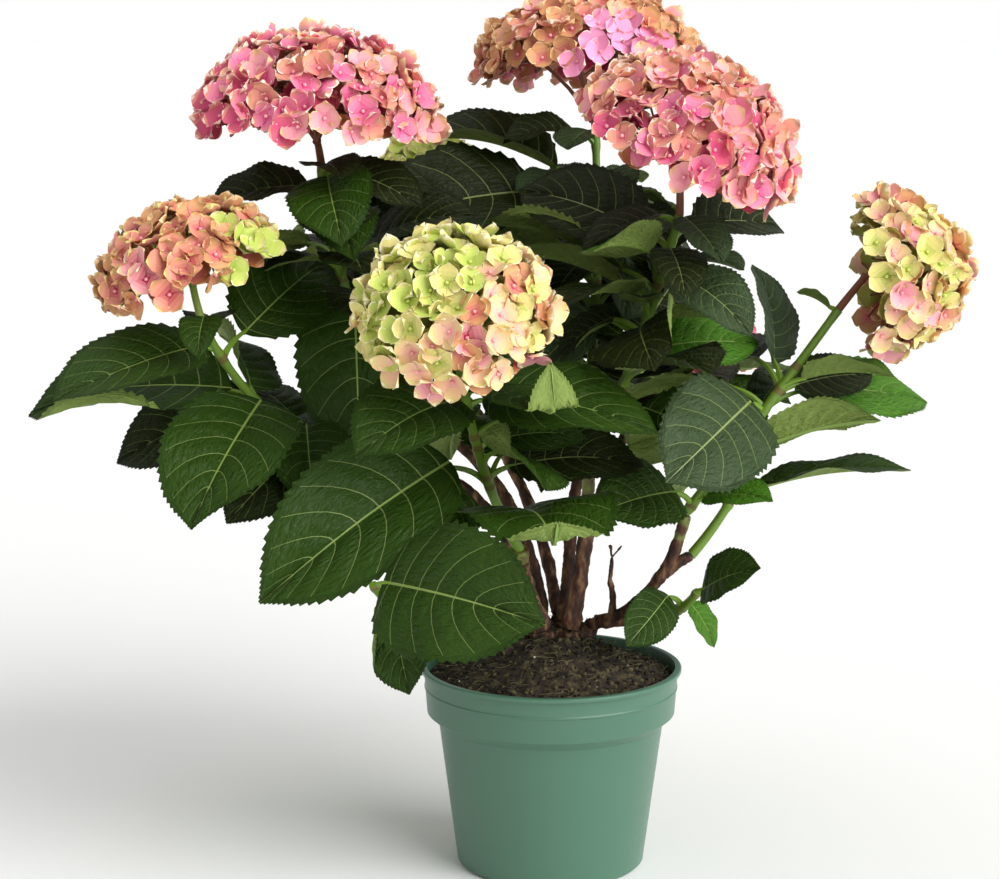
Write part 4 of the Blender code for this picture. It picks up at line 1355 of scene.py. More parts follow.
def normals_of(points, faces):
    """The way out of the surface at each of its points."""
    made = np.zeros_like(points)
    for sides in (3, 4):
        rings = np.array([face for face in faces if len(face) == sides])
        corners = points[rings]
        across = np.cross(corners[:, 2] - corners[:, 0], corners[:, -1] - corners[:, 1])
        if sides == 3:
            across = np.cross(corners[:, 1] - corners[:, 0], corners[:, 2] - corners[:, 0])
        for corner in range(sides):
            np.add.at(made, rings[:, corner], across)
    return made / np.maximum(np.linalg.norm(made, axis=1), 1e-12)[:, None]


def grow_blade(heap, pattern, leaf, form, palette, random):
    """Adds one closed blade to the heap: arched, folded along its midrib, quilted and toothed."""
    base = leaf_base(leaf)
    along, left, up = leaf_axes(leaf)
    flat, rise = creased(pattern.flat, form.creases)
    x, y = flat.T
    side = np.abs(y)
    reach = np.maximum(half_width(np.clip(x, 0, 1)), 0.02)
    share = np.clip(side / reach, 0, 1.15)
    fold = radians(form.fold) * (1 - FOLD_EASE * share)
    z = 4 * BLADE_ARCH * x * (1 - x) + side * np.sin(fold)
    y = form.width * y * np.cos(fold)
    phase = random.uniform(0, 2 * pi)
    waves = np.sin(2 * pi * form.waves * x + phase + np.where(y > 0, 1.9, 0))
    z += form.ripple * waves * share**2 * np.sin(pi * np.clip(x, 0, 1)) ** 0.5
    z += QUILT * pattern.bulge + PUCKER * random.normal(0, 1, len(x)) * (pattern.bulge > 0)
    z -= form.droop * np.clip(x - DROOP_FROM, 0, 1) ** 2
    on_rib = np.abs(pattern.flat[:, 1]) <= rib_half(pattern.flat[:, 0]) * 1.05
    z += rise - RIB_DEPTH * on_rib
    twist = radians(form.twist) * np.clip(x, 0, 1) ** 2
    y, z = y * np.cos(twist) - z * np.sin(twist), z * np.cos(twist) + y * np.sin(twist)
    points = base + leaf.length * (np.outer(x, along) + np.outer(y, left) + np.outer(z, up))
    thick = BLADE_THICK * (1 + RIB_SWELL * on_rib)
    lower = points - thick[:, None] * normals_of(points, pattern.faces)
    both = np.concatenate([points, lower[pattern.inner]])
    turned = [pattern.under[[face[0], *face[:0:-1]]].tolist() for face in pattern.faces]
    faces = pattern.faces + turned
    zones = [palette[zone] for zone in pattern.zones]
    zones += [palette["under" if zone == "blade" else "under_rib"] for zone in pattern.zones]
    places = pattern.net + random.uniform(0, 30, 2)
    heap.add(both, faces, zones, np.concatenate([places, places[pattern.inner]]))


def grow_stalk(heap, leaf, random):
    """Adds a leafstalk: swollen where it leaves the stem, then curving out to the blade."""
    root = shoot_point(SHOOTS[leaf.shoot], leaf.place)
    along, _, up = leaf_axes(leaf)
    end = leaf_base(leaf) + along * STALK_SINK * leaf.length - up * BLADE_THICK
    bend = root + 0.55 * leaf.stalk * direction(leaf.heading, STALK_RISE + 22)
    places = np.linspace(0, 1, STALK_PLACES)
    points = [bend_point(root, bend, end, place) for place in places]
    radii = np.interp(places, *zip(*STALK_FORM))
    verts, faces = tube(points, radii, STEM_SIDES)
    zones = ["node" if face <= STEM_SIDES else "stalk" for face in range(len(faces))]
    heap.add(verts, faces, zones)


def grow_stem(heap, name, leaves):
    """Adds a shoot's stem, with a ridge where each pair of leaves leaves it."""
    shoot = SHOOTS[name]
    places = np.linspace(0, 1, STEM_PLACES)
    points = [shoot_point(shoot, place) for place in places]
    length = sum(np.linalg.norm(b - a) for a, b in zip(points, points[1:]))
    _, way, _ = carrier_end(shoot.carrier)
    radii = np.array([stem_radius(shoot, place) for place in places])
    nodes = np.array([leaf.place for leaf in leaves])
    near = np.array([np.min(np.abs(nodes - place)) * length if len(nodes) else 1 for place in places])
    radii = radii * (1 + JOINT_SWELL * np.exp(-((near / JOINT_REACH) ** 2)))
    verts, faces = tube(points, radii, 2 * STEM_SIDES, way)
    zones = ["stem"]
    for ring in range(len(places) - 1):
        zone = "node" if near[ring] < JOINT_WIDTH and ring % 2 == 0 else "stem"
        zones += [zone] * 2 * STEM_SIDES
    zones.append("stem")
    heap.add(verts, faces, zones)


# Flower heads, finer


def sepal_pattern():
    """A sepal's flat pattern: points of its face, faces, zones, and the points that its back adds."""
    width = len(SEPAL_COLUMNS)
    rows = len(SEPAL_ROWS)
    flat = []
    for place, half in SEPAL_ROWS:
        for column in SEPAL_COLUMNS:
            flat.append((place * (1 - SEPAL_ROUND * column**2 * place), half * column, place, column))
    faces, zones = [], []
    for row in range(rows - 1):
        for column in range(width - 1):
            low = row * width + column
            faces.append((low, low + width, low + width + 1, low + 1))
            side = column in (0, width - 2) and row > 1
            zones.append("rim" if side else SEPAL_ZONES[row])
    inner = [row * width + column for row in range(1, rows - 1) for column in SEPAL_BACK[1:-1]]
    backs = {point: len(flat) + index for index, point in enumerate(inner)}
    for row in range(rows - 1):
        for left, right in zip(SEPAL_BACK, SEPAL_BACK[1:]):
            low = [row * width + c for c in range(left, right + 1)]
            high = [point + width for point in low]
            low = low if row == 0 else [low[0], low[-1]]
            high = high if row == rows - 2 else [high[0], high[-1]]
            ring = [backs.get(point, point) for point in low + high[::-1]]
            faces.append(tuple(ring))
            zones.append(SEPAL_ZONES[row])
    return np.array(flat), faces, zones, inner


def ball(sides=6, rings=(40, 90, 140)):
    """A small closed ball of radius 1."""
    points = [(0, 0, 1)]
    for pole in rings:
        for side in range(sides):
            turn = 2 * pi * side / sides
            z = radians(pole)
            points.append((sin(z) * cos(turn), sin(z) * sin(turn), cos(z)))
    points.append((0, 0, -1))
    last = len(points) - 1
    faces = []
    for side in range(sides):
        after = (side + 1) % sides
        faces.append((0, 1 + side, 1 + after))
        for ring in range(len(rings) - 1):
            low = 1 + ring * sides
            faces.append((low + side, low + sides + side, low + sides + after, low + after))
        low = 1 + (len(rings) - 1) * sides
        faces.append((last, low + after, low + side))
    return np.array(points), faces


BUD = ball()


def fine_places(lowest, count, shift=0.0):
    """Even places over the dome on a golden spiral, as (pole, turn) angles."""
    lowest = cos(radians(lowest))
    for index in range(count):
        level = 1 - (1 - lowest) * (index + 0.4) / count
        yield np.degrees(np.arccos(level)), GOLDEN_ANGLE * index + shift


def dome_out(bloom, centre):
    """The way out of the dome at a point on it."""
    axis, _, _ = bloom_axes(bloom)
    offset = centre - np.array(bloom.centre)
    level = np.dot(offset, axis)
    return unit(axis * level / bloom.height**2 + (offset - axis * level) / bloom.radius**2)


def blend_of(name, offset, random):
    """Picks a floret's blend by chance, weighted by where it stands on its head."""
    for blend, place, reach in PATCHES.get(name, ()):
        if np.linalg.norm(offset - place) < reach:
            return blend
    weights = [max(0, weight + np.dot(pull, offset)) for _, weight, pull in TINTS[name]]
    if sum(weights) == 0:
        weights[0] = 1
    pick = random.uniform(0, sum(weights))
    for (blend, _, _), weight in zip(TINTS[name], weights):
        pick -= weight
        if pick <= 0:
            return blend
    return TINTS[name][0][0]


def grow_floret(heap, pattern, centre, out, size, blend, random):
    """Adds a floret: four broad overlapping sepals, cupped and a little ruffled, round a bud."""
    flat, faces, zones, spine = pattern
    first = unit(np.cross(out, (0.37, 0.21, -0.55)))
    second = np.cross(out, first)
    spin = random.uniform(0, 90)
    cup = random.uniform(*FLORET_CUP)
    dish = random.uniform(*FLORET_DISH)
    for sepal in range(4):
        turn = radians(90 * sepal + spin + random.uniform(*SEPAL_TURN))
        ahead = cos(turn) * first + sin(turn) * second
        aside = np.cross(out, ahead)
        length = size * random.uniform(*SEPAL_LENGTH)
        x, y, place, column = flat.T
        z = (cup + random.uniform(*SEPAL_CUP)) * place**1.5 + dish * column**2 * place
        ruffle = random.uniform(*SEPAL_RUFFLE)
        z += ruffle * np.sin(4.2 * column + random.uniform(0, 6.3)) * place**2
        z -= random.uniform(*SEPAL_CURL) * np.clip(place - CURL_FROM, 0, 1)
        z += SEPAL_LAP * place if sepal % 2 else 0.0
        z += random.uniform(*SEPAL_TILT) * y
        points = centre + length * (np.outer(x, ahead) + np.outer(y, aside) + np.outer(z, out))
        back = points[spine] - SEPAL_THICK * out
        marks = np.stack([0.4 * place + 3 * sepal, column], axis=1)
        heap.add(
            np.concatenate([points, back]),
            faces,
            [f"{blend}_{zone}" for zone in zones],
            np.concatenate([marks, marks[spine]]),
        )
    shape, bud_faces = BUD
    bud = centre + out * BUD_LIFT + BUD_RADIUS * (
        np.outer(shape[:, 0], first) + np.outer(shape[:, 1], second) + np.outer(shape[:, 2], out)
    )
    heap.add(bud, bud_faces, "bud_green" if blend in ("lime", "butter") else "bud")


def grow_head(heap, twigs, name, random):
    """Adds a head's florets to one heap, and its branches and flower stalks to another."""
    bloom = BLOOMS[name]
    axis, across, side = bloom_axes(bloom)
    pattern = sepal_pattern()
    wood = "twig_blush" if name in BLUSH_HEADS else "twig_green"
    way, start = stalk_start(SHOOTS[bloom.shoot])
    stop = heart(bloom)
    places = np.linspace(0, 1, 7)
    middle = 0.5 * (start + stop) + way * 0.006
    radius = SHOOT_TAPER * SHOOT_RADIUS
    verts, faces = tube(
        [bend_point(start, middle, stop, place) for place in places],
        radius * np.interp(places, (0, 0.8, 1), (1, 0.85, 1.15)),
        2 * STEM_SIDES,
        way,
    )
    twigs.add(verts, faces, wood)
    forks = []
    parting = stop - way * FORK_DROP.get(name, 0)
    for branch in range(LIMBS_PER_HEAD):
        pole = LIMB_POLES[0 if branch == 0 else 1 if branch % 2 else 2]
        end = dome_point(bloom, pole, 360 * branch / (LIMBS_PER_HEAD - 1), LIMB_REACH)
        bend = parting + axis * 0.2 * bloom.height + 0.25 * (end - parting)
        points = [bend_point(parting, bend, end, place) for place in np.linspace(0, 1, 5)]
        twigs.add(*tube(points, np.linspace(*LIMB_RADII, 5), STEM_SIDES), wood)
        forks.append(end)
    forks = np.array(forks)
    lowest = LOWEST_OF.get(name, FLORET_LOWEST)
    for share, parts, shift, scale in FLORET_LAYERS:
        for pole, turn in fine_places(lowest, FLORETS[name] // parts, shift):
            lift = share + random.uniform(*FLORET_SHIFT)
            turn += random.uniform(*FLORET_TURN)
            pole = min(pole + random.uniform(*FLORET_TIP), lowest)
            centre = dome_point(bloom, pole, turn, lift)
            out = dome_out(bloom, centre)
            facing = unit(out + random.normal(0, FLORET_LEAN, 3))
            offset = (centre - np.array(bloom.centre)) / bloom.radius
            blend = blend_of(name, offset, random)
            # Florets of the inner layer take a darker blend, which paints the shade inside the head.
            if share < FLORET_TOP:
                blend = PAINTED_SHADE_BLENDS[blend]
            size = FLORET_SIZE * scale * random.uniform(*FLORET_GROWTH)
            grow_floret(heap, pattern, centre, facing, size, blend, random)
            fork = forks[np.argmin(np.linalg.norm(forks - centre, axis=1))]
            bend = 0.4 * fork + 0.6 * centre - 0.006 * out
            points = [fork, bend, centre - TWIG_SINK * facing]
            twigs.add(*tube(points, TWIG_RADII, 4, end_way=facing), wood)
    for centre, facing, blend in STRAYS.get(name, ()):
        centre, facing = np.array(centre), unit(np.array(facing))
        grow_floret(heap, pattern, centre, facing, FLORET_SIZE, blend, random)
        fork = forks[np.argmin(np.linalg.norm(forks - centre, axis=1))]
        points = [fork, 0.5 * (fork + centre) - 0.005 * facing, centre - TWIG_SINK * facing]
        twigs.add(*tube(points, STRAY_RADII, 5, end_way=facing), "twig_blush")


# Helpers of the operators


def soil_height(radius):
    """Height of the soil's even surface at a distance from the middle of the pot."""
    edge = wall_radius(SOIL_EDGE)
    rise = min(1, (edge - radius) / (edge - PAD_RADIUS))
    mound = SOIL_MOUND * np.clip(1 - (radius / MOUND_RADIUS) ** 2, 0, 1)
    return SOIL_EDGE + (SOIL_TOP - SOIL_EDGE) * sin(0.5 * pi * rise) + mound


def surface_of(piece):
    mesh = piece.data
    points = [tuple(vertex.co) for vertex in mesh.vertices]
    return BVHTree.FromPolygons(points, [tuple(face.vertices) for face in mesh.polygons])


def drop(grounds, spot):
    """The height at which something dropped on the soil or the crown comes to lie."""
    start = Vector((spot[0], spot[1], CANE_FOOT + 0.01))
    hits = [ground.ray_cast(start, Vector((0, 0, -1)))[0] for ground in grounds]
    return max((hit.z for hit in hits if hit is not None), default=None)


def soil_spot(random, edge):
    radius = (edge - 0.003) * sqrt(random.random())
    angle = random.uniform(0, 2 * pi)
    return radius * cos(angle), radius * sin(angle)


def bark_finish(settings):
    return mottled_finish(
        "bark",
        ((0.36, settings.dark), (0.52, settings.bark), (0.70, settings.light)),
        0.78,
        300,
        0.7,
        0.0008,
        (1, 1, 0.30),
    )


def shift_tone(colour, other, share):
    return tuple(a + (b - a) * share for a, b in zip(colour, other))


def foliage_finishes(settings):
    """The finishes of blades, veins, stalks and joints, by name."""
    made = {}
    vein, stalk, under = settings.vein, settings.stalk, settings.under
    # The deep leaf and vein finishes are painted shade, and the grey-blue ones a painted sheen.
    for name, rough in (("deep", 0.40), ("middle", 0.42), ("bright", 0.44), ("bluish", 0.46)):
        colour = getattr(settings, name)
        made["leaf_" + name] = leaf_finish("leaf_" + name, colour, rough, 0.6)
        made["vein_" + name] = leaf_finish("vein_" + name, shift_tone(colour, vein, 0.55), rough, 0.2)
    # The darker rib of the deep and grey-blue leaves is painted shade too.
    made["rib_deep"] = finish_of("rib_deep", shift_tone(vein, settings.deep, 0.25), 0.45)
    made["rib_middle"] = finish_of("rib_middle", shift_tone(vein, stalk, 0.5), 0.45)
    made["leaf_under"] = leaf_finish("leaf_under", under, 0.62, 0.6)
    made["rib_under"] = finish_of("rib_under", shift_tone(under, stalk, 0.5), 0.55)
    made["stalk"] = finish_of("leafstalk", stalk, 0.42, 500, 0.2)
    stem = shift_tone(stalk, settings.middle, 0.25)
    made["stem"] = finish_of("green_stem", stem, 0.45, 500, 0.3)
    made["node"] = finish_of("stem_joint", settings.node, 0.6, 700, 0.5)
    return made


def sepal_finish(name, colour):
    """A sepal's finish, with faint veins that run from its claw to its rim."""
    made = finish_of(name, colour, 0.55, grain=500, relief=0.15, Specular_IOR_Level=0.3)
    tree = made.node_tree
    veins = wire(tree, "ShaderNodeTexWave", Vector=map_on_piece(tree), Scale=1.6, Distortion=1.5)
    veins.bands_direction = "Y"
    ribs = wire(
        tree,
        "ShaderNodeBump",
        Height=veins.outputs["Fac"],
        Strength=0.25,
        Distance=0.0003,
        Normal=node_of(tree, "BUMP").outputs[0],
    )
    tree.links.new(ribs.outputs[0], tree.nodes["Principled BSDF"].inputs["Normal"])
    return made


def blossom_finishes(settings):
    """The finishes of sepals, buds and twigs, by name."""
    made = {}
    for blend, tints in BLENDS.items():
        heart_tint, body, edge, rim = [getattr(settings, tint) for tint in tints]
        colours = {
            "heart": heart_tint,
            "inner": shift_tone(heart_tint, body, 0.45),
            "fade": shift_tone(heart_tint, body, 0.80),
            "middle": body,
            "outer": shift_tone(body, edge, 0.75),
            "rim": rim,
        }
        for zone, colour in colours.items():
            name = f"{blend}_{zone}"
            made[name] = sepal_finish("sepal_" + name, colour)
    made["bud"] = finish_of("bud", settings.blush, 0.5)
    made["bud_green"] = finish_of("bud_green", settings.lime, 0.5)
    made["twig_blush"] = finish_of("twig_blush", settings.twig, 0.55, 500, 0.3)
    twig_green = shift_tone(settings.green, SAP_GREEN, 0.45)
    made["twig_green"] = finish_of("twig_green", twig_green, 0.55, 500, 0.3)
    return made


def palette_of(shade):
    """The finishes of a leaf of one shade, by zone."""
    return {
        "blade": "leaf_" + shade,
        "vein": "vein_" + shade,
        # Deep and grey-blue leaves take the darker rib, which is painted shade.
        "rib": "rib_deep" if shade in ("deep", "bluish") else "rib_middle",
        "under": "leaf_under",
        "under_rib": "rib_under",
    }


def turned_margin(random):
    """A crease by chance, near the tip or on one side of the blade."""
    x = random.uniform(0.35, 0.70)
    side = random.choice((-1, 1))
    edge = float(half_width(x))
    way = (90 - 90 * side) + random.uniform(-14, 14)
    return Crease(x, side * edge * random.uniform(0.62, 0.85), way, random.uniform(*CREASE_TURN))


def form_of(leaf, random):
    """How a leaf is folded, waved and toned: by its place in the crown, or as listed."""
    fold = random.uniform(*FOLD_RANGE)
    ripple = random.uniform(*RIPPLE_RANGE)
    waves = random.uniform(*WAVES_RANGE)
    droop = random.uniform(*DROOP_RANGE)
    twist = random.normal(0, TWIST_SPREAD)
    crease = turned_margin(random)
    creases = (crease,) if random.random() < CREASED_SHARE else ()
    across, _, height = leaf_base(leaf)
    # Leaves higher up take the deep tone, which is painted shade; some deep ones right of the middle take
    # the grey-blue tone instead, which is a painted sheen.
    dark = (height - PAINTED_SHADE_FROM) / PAINTED_SHADE_SPAN + random.normal(0, 0.25)
    shade = "deep" if dark > 0.45 else "middle"
    if shade == "middle" and random.random() < BRIGHT_SHARE:
        shade = "bright"
    if shade == "deep" and across > 0.02 and random.random() < PAINTED_SHEEN_SHARE:
        shade = "bluish"
    form = Form(fold, ripple, waves, droop, twist, shade, creases, random.uniform(*WIDTH_RANGE))
    if leaf in LEAVES:
        form = form._replace(creases=())
        listed = FORMS.get(LEAVES.index(leaf))
        if listed is not None:
            form = form._replace(**{"shade": "middle", **listed})
    if leaf in YOUNG_LEAVES:
        form = form._replace(**YOUNG_FORMS.get(YOUNG_LEAVES.index(leaf), {}))
    return form


# Sizes and colours that a user would change


def length_of(name, text, default, low=0.0):
    return bpy.props.FloatProperty(
        name=name, description=text, default=default, min=low, unit="LENGTH", precision=4
    )


def colour_of(name, text, code):
    return bpy.props.FloatVectorProperty(
        name=name, description=text, default=tone(code), size=3, min=0, max=1, subtype="COLOR"
    )


class PotSettings(bpy.types.PropertyGroup):
    colour: colour_of("Pot", "Colour of the moulded pot", "446c57")
    line_rise: length_of("Line", "How far the line under the rim stands proud", LINE_RISE)


class SoilSettings(bpy.types.PropertyGroup):
    dark: colour_of("Peat", "Colour of the wet peat", "120d08")
    light: colour_of("Bark bits", "Colour of the bark bits in the peat", "2e2214")
    moss: colour_of("Moss", "Colour of the moss and dry fibres", "575033")
    grit: colour_of("Grit", "Colour of the pale grit", "d8d2c4")
    crumbs: bpy.props.IntProperty(
        name="Crumbs", description="Number of crumbs on the soil", default=CRUMBS, min=0
    )


class WoodSettings(bpy.types.PropertyGroup):
    dark: colour_of("Bark hollows", "Colour deep in the bark", "1f110b")
    bark: colour_of("Bark", "Colour of the bark", "4d2c1c")
    light: colour_of("Flakes", "Colour of the pale flakes of bark", "8c6a4a")
    young: colour_of("Young wood", "Colour of the green young wood", "7d8a3e")
    relief: length_of("Relief", "Depth of the bark's relief", 0.0019)


class FoliageSettings(bpy.types.PropertyGroup):
    # This darker green is painted shade on the upper leaves.
    deep: colour_of("Upper leaves", "Colour of the darkest, upper leaves", "202a0d")
    middle: colour_of("Leaves", "Colour of the lower leaves", "2a430e")
    bright: colour_of("Bright leaves", "Colour of the youngest leaves", "47761c")
    # This greyer, bluer green is a painted sheen, the studio's glare on glossy leaves.
    bluish: colour_of("Bluish leaves", "Colour of the greyer leaves", "38492c")
    under: colour_of("Undersides", "Colour of the leaves' undersides", "788c46")
    vein: colour_of("Veins", "Colour of the veins", "98a964")
    stalk: colour_of("Leafstalks", "Colour of the leafstalks", "71932c")
    node: colour_of("Joints", "Colour of the joints on the stems", "67602a")


class BlossomSettings(bpy.types.PropertyGroup):
    magenta: colour_of("Magenta", "Colour of the pink hearts", "cf3f80")
    wine: colour_of("Wine", "Colour of the darkest hearts", "b52a55")
    rose: colour_of("Rose", "Colour of rose sepals", "cf5c76")
    # These three colours are painted shade, for the sepals deep in a head where shade falls.
    ruby: colour_of("Ruby", "Colour of the pink sepals deep in a head", "b03a54")
    rust: colour_of("Rust", "Colour of the peach sepals deep in a head", "b26c45")
    olive: colour_of("Olive", "Colour of the pale sepals deep in a head", "a69a4c")
    hot: colour_of("Bright pink", "Colour of the bright pink sepals", "fba4cd")
    pink: colour_of("Pink", "Colour of pink sepals", "ea86a4")
    blush: colour_of("Blush", "Colour of blushed sepals", "f2acb0")
    salmon: colour_of("Salmon", "Colour of salmon sepals", "e39a83")
    peach: colour_of("Peach", "Colour of peach sepals", "f0ba92")
    dust: colour_of("Dusty peach", "Colour of the dusty sepals", "d8a270")
    tan: colour_of("Tan", "Colour of the faded sepals", "cc9a6e")
    shell: colour_of("Shell", "Colour of the rims of pink sepals", "fbdccb")
    cream: colour_of("Cream", "Colour of cream sepals", "eecb98")
    butter: colour_of("Butter", "Colour of yellow sepals", "e6d98c")
    ivory: colour_of("Ivory", "Colour of the rims of pale sepals", "f4eabf")
    lime: colour_of("Lime", "Colour of lime sepals", "c6d26c")
    green: colour_of("Green", "Colour of the green hearts", "a3b848")
    twig: colour_of("Flower twigs", "Colour of the blushed flower twigs", "7c4a32")


class StageSettings(bpy.types.PropertyGroup):
    floor: colour_of("Floor", "Colour of the floor", "f6f6f4")
    daylight: bpy.props.FloatProperty(
        name="Daylight", description="Strength of the light from above", default=0.85, min=0
    )
    haze: bpy.props.FloatProperty(
        name="Haze", description="Strength of the light from the sides", default=0.32, min=0
    )


class HydrangeaSettings(bpy.types.PropertyGroup):
    pot: bpy.props.PointerProperty(type=PotSettings)
    soil: bpy.props.PointerProperty(type=SoilSettings)
    wood: bpy.props.PointerProperty(type=WoodSettings)
    foliage: bpy.props.PointerProperty(type=FoliageSettings)
    blossom: bpy.props.PointerProperty(type=BlossomSettings)
    stage: bpy.props.PointerProperty(type=StageSettings)


# Operators


class BuildPot(bpy.types.Operator):
    """Builds the moulded pot with its band, line, rim and drain holes"""

    bl_idname = "hydrangea.build_pot"
    bl_label = "Pot"

    def execute(self, context):
        settings = context.scene.hydrangea.pot
        line = POT_HEIGHT - LINE_DROP
        slope = (RIM_RADIUS - RIM_LIP - BAND_RADIUS) / (POT_HEIGHT - RIM_HEIGHT - BAND_BOTTOM)
        band = BAND_RADIUS + slope * (line - BAND_BOTTOM)
        proud = settings.line_rise
        outer = outer_wall()
        bead = [
            (band - LINE_WIDTH * slope, line - LINE_WIDTH),
            (band + proud, line - 0.4 * LINE_WIDTH),
            (band + proud, line + 0.4 * LINE_WIDTH),
            (band + LINE_WIDTH * slope, line + LINE_WIDTH),
        ]
        inner = inner_wall()
        pot = turned_solid("moulded_pot", [*outer[:4], *bead, *outer[4:], *inner], POT_SIDES)
        for hole in range(DRAIN_HOLES):
            x, y, _ = DRAIN_RING * direction(360 * hole / DRAIN_HOLES + 20, 0)
            alone()
            bpy.ops.mesh.primitive_cylinder_add(
                vertices=DRAIN_SIDES, radius=DRAIN_RADIUS, depth=4 * FLOOR, location=(x, y, 0)
            )
            cutter = bpy.context.object
            apply_modifier(pot, "BOOLEAN", operation="DIFFERENCE", object=cutter)
            bpy.data.objects.remove(cutter)
        apply_modifier(
            pot, "BEVEL", width=0.0007, segments=2, limit_method="ANGLE", angle_limit=radians(35)
        )
        plastic = finish_of(
            "moulded_plastic",
            settings.colour,
            0.36,
            grain=420,
            relief=0.06,
            depth=0.0003,
            Specular_IOR_Level=0.6,
        )
        coat(pot, 30, plastic)
        hand_over(pot, "pot_green", "pot")
        return {"FINISHED"}


class BuildSoil(bpy.types.Operator):
    """Builds the soil with its lumps, crumbs, fibres and grit"""

    bl_idname = "hydrangea.build_soil"
    bl_label = "Soil"

    def execute(self, context):
        settings = context.scene.hydrangea.soil
        random = np.random.default_rng(SEED)
        side = [(radius - GAP, height + GAP) for radius, height in reversed(inner_wall()[1:])]
        edge = wall_radius(SOIL_EDGE) - GAP
        profile = [*side, (edge, SOIL_EDGE)]
        for ring in range(1, SOIL_RINGS + 1):
            radius = edge * (1 - ring / (SOIL_RINGS + 1))
            profile.append((radius, soil_height(radius)))
        soil = turned_solid("soil_bed", profile, SOIL_SIDES)
        group = soil.vertex_groups.new(name="top")
        top = [v.index for v in soil.data.vertices if v.co.z > SOIL_EDGE + 0.0002]
        group.add(top, 1.0, "REPLACE")
        apply_modifier(soil, "SUBSURF", levels=1, subdivision_type="SIMPLE")
        for size, strength in SOIL_RELIEF:
            roughen(soil, size, strength, direction="Z", vertex_group="top")
        earth = mottled_finish(
            "peat",
            ((0.30, settings.dark), (0.52, settings.light), (0.72, settings.moss)),
            0.9,
            260,
            0.8,
            0.0012,
        )
        coat(soil, 70, earth)
        hand_over(soil, "potting_soil", "soil")
        heap = Heap()
        shape, faces = ball(5, (55, 125))
        grounds = [surface_of(piece) for piece in (soil, context.scene.objects["woody_crown"])]
        for size_range, count, zones in (
            (CRUMB_SIZE, settings.crumbs, ("peat_dark", "peat_light", "peat_dark", "moss", "peat_dark")),
            (GRIT_SIZE, GRITS, ("grit",)),
        ):
            for index in range(count):
                spot = soil_spot(random, edge)
                height = drop(grounds, spot)
                if height is None:
                    continue
                size = random.uniform(*size_range) * random.uniform(0.5, 1)
                lump = shape * random.uniform(*CRUMB_SQUASH, 3) * size
                lump = lump * (1 + random.uniform(-CRUMB_DENT, CRUMB_DENT, (len(shape), 1)))
                centre = (*spot, height + CRUMB_SINK * size)
                heap.add(centre + lump, faces, zones[index % len(zones)])
        for _ in range(FIBRES):
            spot = soil_spot(random, edge - 0.006)
            height = drop(grounds, spot)
            if height is None:
                continue
            length = random.uniform(*FIBRE_LENGTH)
            way = direction(random.uniform(0, 360), random.uniform(*FIBRE_RISE))
            start = np.array((*spot, height + 0.0008))
            bend = start + 0.5 * length * way + random.normal(0, FIBRE_BEND, 3)
            stop = start + length * way
            stop[2] = max(stop[2] * 0.3 + height * 0.7 + 0.0005, height)
            if np.hypot(*stop[:2]) > edge:
                continue
            points = [bend_point(start, bend, stop, place) for place in (0, 0.35, 0.7, 1)]
            radius = random.uniform(*FIBRE_RADIUS)
            strand = tube(points, (radius, radius, radius, 0.5 * radius), 4)
            heap.add(*strand, "moss" if random.random() < MOSS_SHARE else "peat_light")
        finishes = {
            "peat_dark": finish_of("peat_dark", settings.dark, 0.9, 700, 0.6),
            "peat_light": finish_of("bark_bits", settings.light, 0.85, 700, 0.6),
            "moss": finish_of("dry_moss", settings.moss, 0.9, 900, 0.5),
            "grit": finish_of("grit", settings.grit, 0.7, 900, 0.4),
        }
        hand_over(heap.piece("soil_crumbs", finishes), "potting_soil")
        return {"FINISHED"}


class BuildCrown(bpy.types.Operator):
    """Builds the knobbly crown that every cane grows from"""

    bl_idname = "hydrangea.build_crown"
    bl_label = "Crown"

    def execute(self, context):
        settings = context.scene.hydrangea.wood
        x, y, base = CROWN
        line = [(x, y, base + share * CROWN_HEIGHT) for share in (0, 0.4, 1)]
        radii = [share * CROWN_RADIUS for share in CROWN_LUMP]
        pieces = [limb("crown_lump", line, radii, CROWN_SIDES)]
        for name, cane in CANES.items():
            foot = cane_foot(cane)
            way = unit(cane_point(cane, 1 / (LIMB_PLACES - 1)) - foot)
            root = np.array((x, y, base)) + ROOT_SHARE * (foot - (x, y, 0))
            root[2] = base + 0.15 * CROWN_HEIGHT
            points = [root, 0.5 * (root + foot) - way * 0.001, foot - way * GAP]
            radius = SLIMMER_FEET.get(name, cane.foot_radius)
            radii = [swell * radius for swell in ROOT_SWELL]
            pieces.append(limb(name + "_root", points, radii, ROOT_SIDES))
        crown = joined("woody_crown", pieces)
        apply_modifier(crown, "REMESH", mode="VOXEL", voxel_size=CROWN_VOXEL)
        apply_modifier(crown, "SMOOTH", factor=0.6, iterations=6)
        for size, strength in CROWN_RELIEF:
            roughen(crown, size, strength)
        coat(crown, 60, bark_finish(settings))
        hand_over(crown, "cane_bark", "root_crown")
        return {"FINISHED"}


